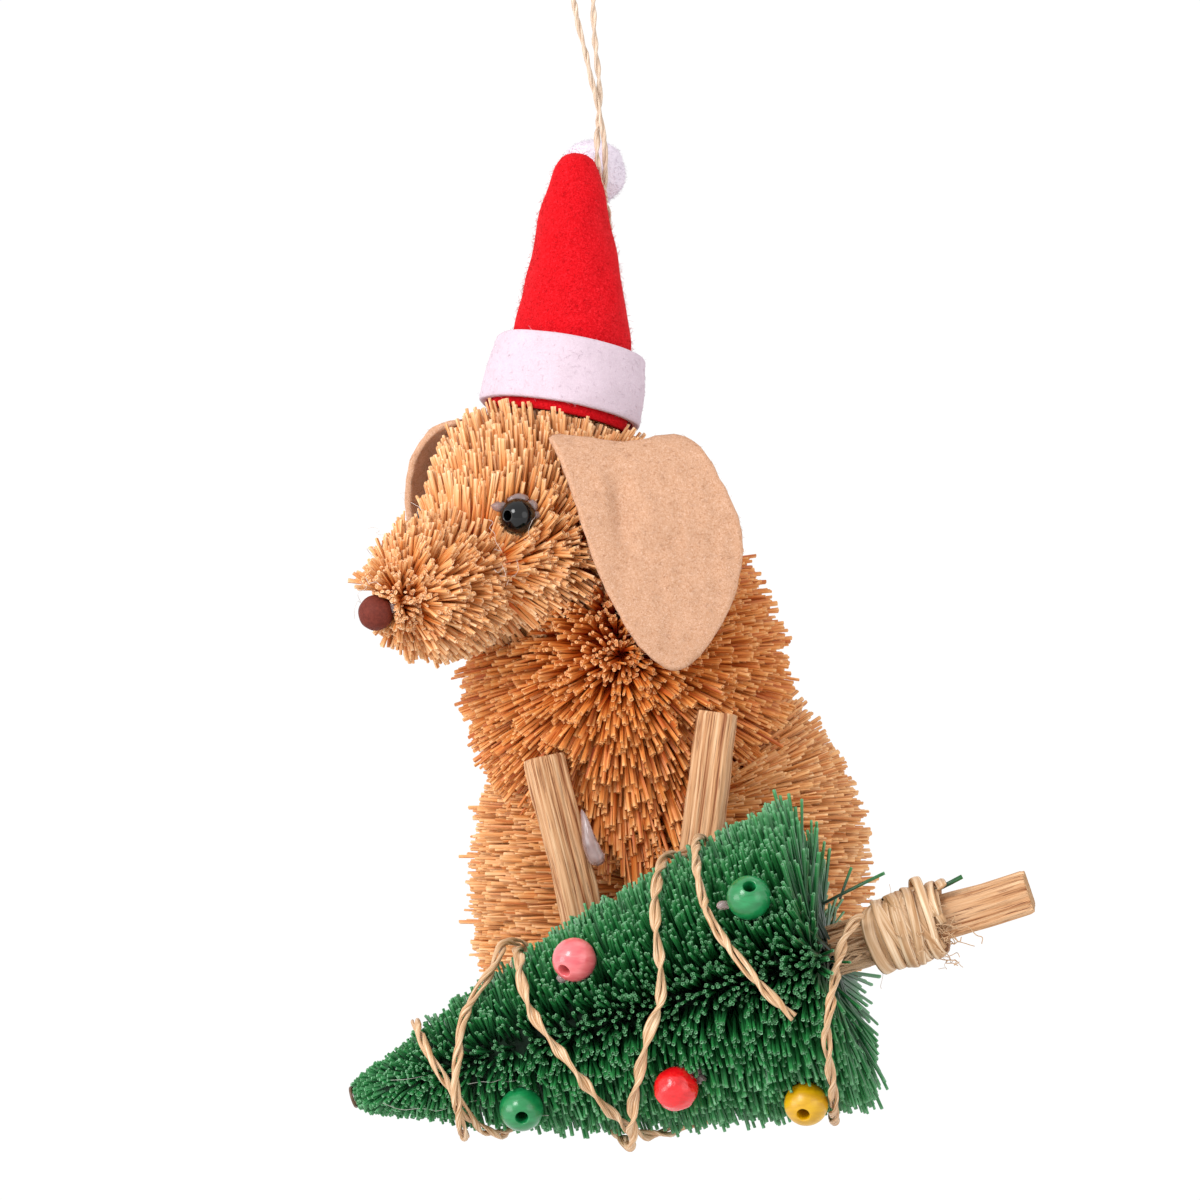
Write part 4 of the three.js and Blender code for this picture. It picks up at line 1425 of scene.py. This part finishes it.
def add_pompom():
    points, faces, _ = skin(hat_place(POMPOM_PLACE), puffed, 40, 56)
    # Its wool is painted lighter than the cuff's felt, as painted light against the hat's shade
    ball = piece("pompom_wool", points, faces, POMPOM_LIT_WOOL)
    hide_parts("hat_pompom")
    nap("pompom_nap", points, faces[0], POMPOM_LIT_WOOL, 2400, 0.55, seed=92, lie=1.2)


# Wood


def stick_shape(start, length, axes, width, depth, seed):
    """A split stick: ridged along its grain, with worn corners and cut ends."""
    sides = 72
    around = np.linspace(0, 2 * math.pi, sides, endpoint=False)
    square = (np.abs(np.cos(around)) ** 7 + np.abs(np.sin(around)) ** 7) ** (-1 / 7)
    levels = np.concatenate([[0, 0.15], np.linspace(0.5, length - 0.5, 44), [length - 0.15, length]])
    rows = []
    for level in levels:
        near_end = min(level, length - level)
        trim = 1 - 0.05 * max(0, 1 - near_end / 0.4)
        x = np.cos(around) * square * width / 2 * trim
        y = np.sin(around) * square * depth / 2 * trim
        line = np.stack([x * 2.4, y * 2.4, np.full(sides, level * 0.09)], 1)
        ridge = 0.1 * ripple(line, 2.2, seed) + 0.1 * np.abs(ripple(line, 1.1, seed + 1)) - 0.08
        size = 1 + ridge / math.hypot(width / 2, depth / 2) * 1.3
        skew = 0.12 * math.sin(level * 0.21 + seed)
        rows.append(np.stack([x * size + skew, y * size, np.full(sides, level)], 1))
    points = start + np.vstack(rows) @ axes
    faces, uvs = capped(len(levels), sides)
    return points, faces, uvs


def add_stick(name, *shape):
    """A stick with its grain on the sides and the end grain on its cut ends."""
    points, faces, uvs = stick_shape(*shape)
    slots = np.repeat([0, 1], [len(faces[0]), 2])
    stick = piece(f"{name}_wood", points, faces, [WOOD, END_GRAIN], uvs, slots=slots)
    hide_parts(name)


def add_wood():
    for name, (start, end, turn), seed in (("left", LEG_LEFT, 3), ("right", LEG_RIGHT, 8)):
        length = np.linalg.norm(end - start)
        axes = axes_along(unit(end - start), turn)
        add_stick(f"foreleg_{name}", start, length, axes, LEG_WIDTH, LEG_DEPTH, seed)
    start = TREE_TIP + TREE_AXIS * (TREE_LENGTH - TRUNK_IN)
    axes = turned(TRUNK_TURN) @ TREE_FRAME
    add_stick("tree_trunk", start, TRUNK_IN + TRUNK_OUT, axes, TRUNK_SIDE, TRUNK_SIDE, 5)


# Tree


def side_tips(rng):
    """Tips all over the cone, looser towards its base, with the height each one grows from."""
    height = TREE_LENGTH * np.sqrt(rng.uniform(0, 1, SIDE_COUNT))
    angle = rng.uniform(0, 360, SIDE_COUNT)
    less = np.abs(rng.normal(0, 0.095, SIDE_COUNT))
    loose = np.clip(height / LOOSE_FROM, 0.15, 1)
    tips = on_tree(height, angle, -less * tree_radius(height) + 1.1 * loose - 0.7)
    clumps = 0.6 * ripple_vectors(tips, 3, 52) + rng.normal(0, 0.2, tips.shape)
    return tips + loose[:, None] * clumps, height


def base_tips(rng):
    """Tips on the flat base, some of which flare out past it."""
    height = np.full(BASE_COUNT, TREE_LENGTH)
    angle = rng.uniform(0, 360, BASE_COUNT)
    tips = on_tree(height, angle, rng.uniform(-9, 0.6, BASE_COUNT))
    flare = np.minimum(rng.gamma(1.4, 0.7, BASE_COUNT), FLARE_MOST)
    return tips + TREE_AXIS * flare[:, None], height - 1


def point_tips(rng):
    """Short close tips at the cone's point, and over its blunt end."""
    height = POINT_LENGTH * rng.uniform(0, 1, POINT_COUNT) ** 1.3
    over_end = rng.uniform(-2.4, -0.8, POINT_COUNT)
    off = np.where(height < 0.8, over_end, rng.uniform(-1.1, -0.4, POINT_COUNT))
    tips = on_tree(height, rng.uniform(0, 360, POINT_COUNT), off)
    return tips + rng.normal(0, 0.12, tips.shape), height


def tree_fibres():
    """The tree's fibres, which start near its axis, in front of it where the cone is wide."""
    rng = np.random.default_rng(51)
    tips, heights = zip(side_tips(rng), base_tips(rng), point_tips(rng))
    tips, height = np.vstack(tips), np.concatenate(heights)
    radius = tree_radius(height)
    start = tree_local(tips)
    start[:, 2] = 0
    start = unit(start) * np.minimum(2.2, radius * 0.25)[:, None]
    start[:, 1] += np.maximum(radius * 0.35 - 0.6, 0)
    start[:, 2] = height + rng.normal(0, 0.7, len(height)) + 4.5 * np.exp(-height / 7)
    roots = TREE_TIP + start @ TREE_FRAME
    blocks = [leg_room(LEG_LEFT), leg_room(LEG_RIGHT)]
    blocks += [ball_room(place, TREE_BEAD_RADIUS + 0.1) for place in bead_places().values()]
    blocks.append(path_room(np.vstack([GARLAND_LOWER, GARLAND_UPPER]), TWINE / 2 + 0.15))
    roots, tips = clipped(roots, tips, blocks, 0.3)
    widths = GREEN_WIDTH * rng.uniform(0.8, 1.2, len(roots))
    return fibres(roots, tips, widths, rng, flat=0.85, bow=0, hollow=0.5)


def path_room(path, radius):
    """The room round a twine."""

    def inside(points):
        near = np.full(len(points), 1e9)
        for place in path:
            near = np.minimum(near, ((points - place) ** 2).sum(1))
        return near < radius**2

    return inside


def add_tree():
    rows, columns = 30, 36
    heights = np.linspace(INSIDE_FROM, TREE_LENGTH - INSIDE_SHORT, rows)
    turn = np.linspace(0, 360, columns, endpoint=False)
    h, a = (values.ravel() for values in np.meshgrid(heights, turn, indexing="ij"))
    points = on_tree(h, a, (INSIDE_SHARE["tree"] - 1) * tree_radius(h))
    inside = (points, *capped(rows, columns))
    looks = [TREE_GREEN, GREEN_SHADE_CORE]
    brush_piece("tree_fibres", "tree_bristle", tree_fibres(), inside, looks)


def add_beads():
    places = bead_places()
    for name, paint, _, _, way in TREE_BEADS:
        way = unit(way) @ TREE_FRAME
        wrinkle = 0.016 if paint == "red" else 0.004
        shape = bead_shape(TREE_BEAD_RADIUS, TREE_BEAD_HOLE, way, places[name], 48, wrinkle)
        bead = piece(f"{name}_painted", *shape, PAINTS[paint])
        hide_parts(name)


def add_twines():
    for name, path, seed in (("garland_lower", GARLAND_LOWER, 31), ("garland_upper", GARLAND_UPPER, 47)):
        points, faces, uvs = plied(path, GARLAND_WIDTH, GARLAND_PITCH, GARLAND_FLAT, seed)
        twine = piece(f"{name}_twine", points, faces, RAFFIA, uvs)
        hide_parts(name)


def around_trunk(turns, height, off):
    """A place beside the trunk: turns from its upper side, height over the tree's base."""
    angle = 2 * math.pi * turns
    local = np.stack([off * np.cos(angle), off * np.sin(angle), TREE_LENGTH + height], 1)
    return TREE_TIP + local @ TREE_FRAME


def add_binding():
    """Flat raffia strips wound over each other, of which the last bulges into a loop on top."""
    radius = TRUNK_SIDE / math.sqrt(2) + CLEARANCE
    rng = np.random.default_rng(61)
    parts = []
    for i in range(STRIPS):
        turns = np.linspace(-0.3, BIND_TURNS + 0.2, STRIP_POINTS) + rng.uniform(-0.2, 0.2)
        angle = 2 * math.pi * turns
        line = np.stack([turns * 2, np.zeros(STRIP_POINTS), np.full(STRIP_POINTS, i)], 1)
        drift = 0.8 * ripple(line, 4, 62 + i) + (i - STRIPS / 2) * STRIP_SPREAD
        height = BIND_START + BIND_SHIFT + BIND_PITCH * turns + drift
        height = height + i % 2 * STRIP_CROSSING * np.sin(angle + i)
        off = radius + 0.3 + 0.1 * i + 0.2 * ripple(line, 2, 80 + i)
        off = off + 0.25 * np.cos(4 * (angle - math.radians(TRUNK_CORNER)))
        if i == STRIPS - 1:
            off = off + LOOP_RISE * np.exp(-(((turns - LOOP_AT) / LOOP_SPAN) ** 2))
        path = around_trunk(turns, height, off)
        out = unit(path - around_trunk(turns, height, np.zeros(STRIP_POINTS)))
        across = np.cross(unit(np.gradient(path, axis=0)), out)
        side, up = path_frames(path)
        lying = np.arctan2((across * up).sum(1), (across * side).sum(1))
        lying = lying + 0.3 * np.sin(4.4 * turns + i)
        wide = rng.uniform(*STRIP_WIDTHS) * (1 + 0.15 * ripple(line, 2, 40 + i))
        share = (i / STRIPS, (i + 1) / STRIPS)
        parts.append(tube(path, wide, STRIP_THICK, 8, lying, share))
    points, faces, uvs = joined(parts)
    uvs = [u * (1.5, 0.12) for u in uvs]
    wrap = piece("trunk_binding_raffia", points, faces, RAFFIA, uvs)
    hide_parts("trunk_binding")


def thread(stops, width):
    """A thin round thread through a few places."""
    return tube(smooth_curve(stops, 6), width, width, 4)


def curl(rng, start, way, length, wander):
    """Places of a loose thread end that wanders off along a way."""
    count = 6
    steps = unit(way) * length / count + rng.normal(0, wander, (count, 3))
    return np.vstack([start, start + np.cumsum(steps, axis=0)])


def add_frays():
    """Loose raffia ends round the binding, and fine fibre on the trunk's inner end."""
    rng = np.random.default_rng(71)
    parts = []
    for _ in range(BIND_FRAYS):
        turn, height = rng.uniform(0.16, 0.44), rng.uniform(11, 15)
        start = around_trunk(vec(turn), vec(height), 3.6)[0]
        way = vec(0.7, -0.2, rng.uniform(-0.7, 0.5))
        path = curl(rng, start, way, rng.uniform(1.5, 3.2), 0.5)
        parts.append(thread(path, rng.uniform(0.08, 0.2)))
    for _ in range(BIND_HAIRS):
        turn, height = rng.uniform(0, 1), rng.uniform(7, 14)
        start = around_trunk(vec(turn), vec(height), 4.6)[0]
        out = start - around_trunk(vec(turn), vec(height), 0)[0]
        parts.append(thread(curl(rng, start, out, rng.uniform(1, 2.2), 0.4), HAIR_WIDTH))
    for _ in range(TRUNK_SPLINTERS):
        turn = rng.uniform(-0.05, 0.55)
        off = TRUNK_SIDE / 2 * 1.17 + rng.uniform(0, 0.35)
        heights = np.linspace(-0.5, rng.uniform(4.5, 6.5), 5)
        path = around_trunk(turn + rng.normal(0, 0.008, 5), heights, off)
        parts.append(tube(path, rng.uniform(0.3, 0.7), 0.16, 6))
    points, faces, uvs = joined(parts)
    piece("raffia_frays", points, faces, RAFFIA, uvs)


# Glue and stray threads


def blob(centre, size, seed):
    """A soft lump of set glue, by its half sizes."""

    def lumpy(ways):
        return (1 + 0.07 * ripple(ways, 1.6, seed)) / np.linalg.norm(ways / size, axis=1)

    return skin(centre, lumpy, 20, 26)


def add_glue():
    """Lumps beside the beads, and the run beside the left foreleg."""
    places = {"eye": EYE_NEAR, "nose": NOSE_CENTRE, **bead_places()}
    parts = []
    for i, (name, off, size) in enumerate(GLUE_LUMPS):
        parts.append(blob(places[name] + off, vec(*size), 90 + i))
    run = smooth_curve(GLUE_RUN, 6)
    shares, widths = zip(*GLUE_RUN_WIDTHS)
    wide = np.interp(np.linspace(0, 1, len(run)), shares, widths)
    points, faces, _ = joined([*parts, tube(run, wide, wide * 0.7, 16)])
    piece("glue", points, faces, GLUE)


def add_glue_threads(rng):
    """Thin strings of glue that lie on the head."""
    strings = []
    for _ in range(GLUE_THREADS):
        start = vec(rng.uniform(-25, -11), 0, rng.uniform(74, 86))
        way = start - HEAD_CENTRE
        way[1] = -9
        way = unit(way)
        start = HEAD_CENTRE + way * (float(head_reach(way[None])[0]) + 0.2)
        side = unit(np.cross(way, rng.normal(size=3)))
        strings.append(thread(curl(rng, start, side, rng.uniform(2.5, 6), 0.5), HAIR_WIDTH))
    points, faces, _ = joined(strings)
    piece("glue_threads", points, faces, HAIR)


def add_grey_hairs(rng):
    """Hairs caught on the tree near its tip."""
    hairs = []
    for height, angle, length in GREY_HAIRS:
        start = on_tree(vec(height), vec(angle), 0.7)[0]
        hairs.append(thread(curl(rng, start, TREE_AXIS + vec(0, 0, -0.25), length, 0.35), 0.09))
    points, faces, _ = joined(hairs)
    piece("grey_hairs", points, faces, GREY_HAIR)


def add_stray_green(rng):
    """A few long green fibres that stick out at the tree's base."""
    roots, tips, widths = (np.array(column, float) for column in zip(*STRAY_GREEN))
    points, faces, uvs = fibres(roots, tips, widths, rng, sides=6, bow=0.02)
    piece("stray_green", points, faces, TREE_GREEN, uvs)


def add_tip_wire():
    """The end of the tree's wire, bent round at its tip."""
    turn = np.linspace(0, 2 * math.pi, 25)
    ring = np.stack([WIRE_RING * np.cos(turn), WIRE_RING * np.sin(turn), np.full(25, -0.2)], 1)
    points, faces, _ = tube(TREE_TIP + ring @ TREE_FRAME, WIRE_WIDTH, WIRE_WIDTH, 8)
    piece("tip_wire", points, faces, WIRE)


def main():
    add_camera()
    add_cord()
    add_studio()
    add_head()
    add_body()
    add_face()
    add_ears()
    add_hat()
    add_pompom()
    add_wood()
    add_tree()
    add_beads()
    add_twines()
    add_binding()
    add_frays()
    add_glue()
    rng = np.random.default_rng(83)
    add_glue_threads(rng)
    add_grey_hairs(rng)
    add_stray_green(rng)
    add_tip_wire()


main()
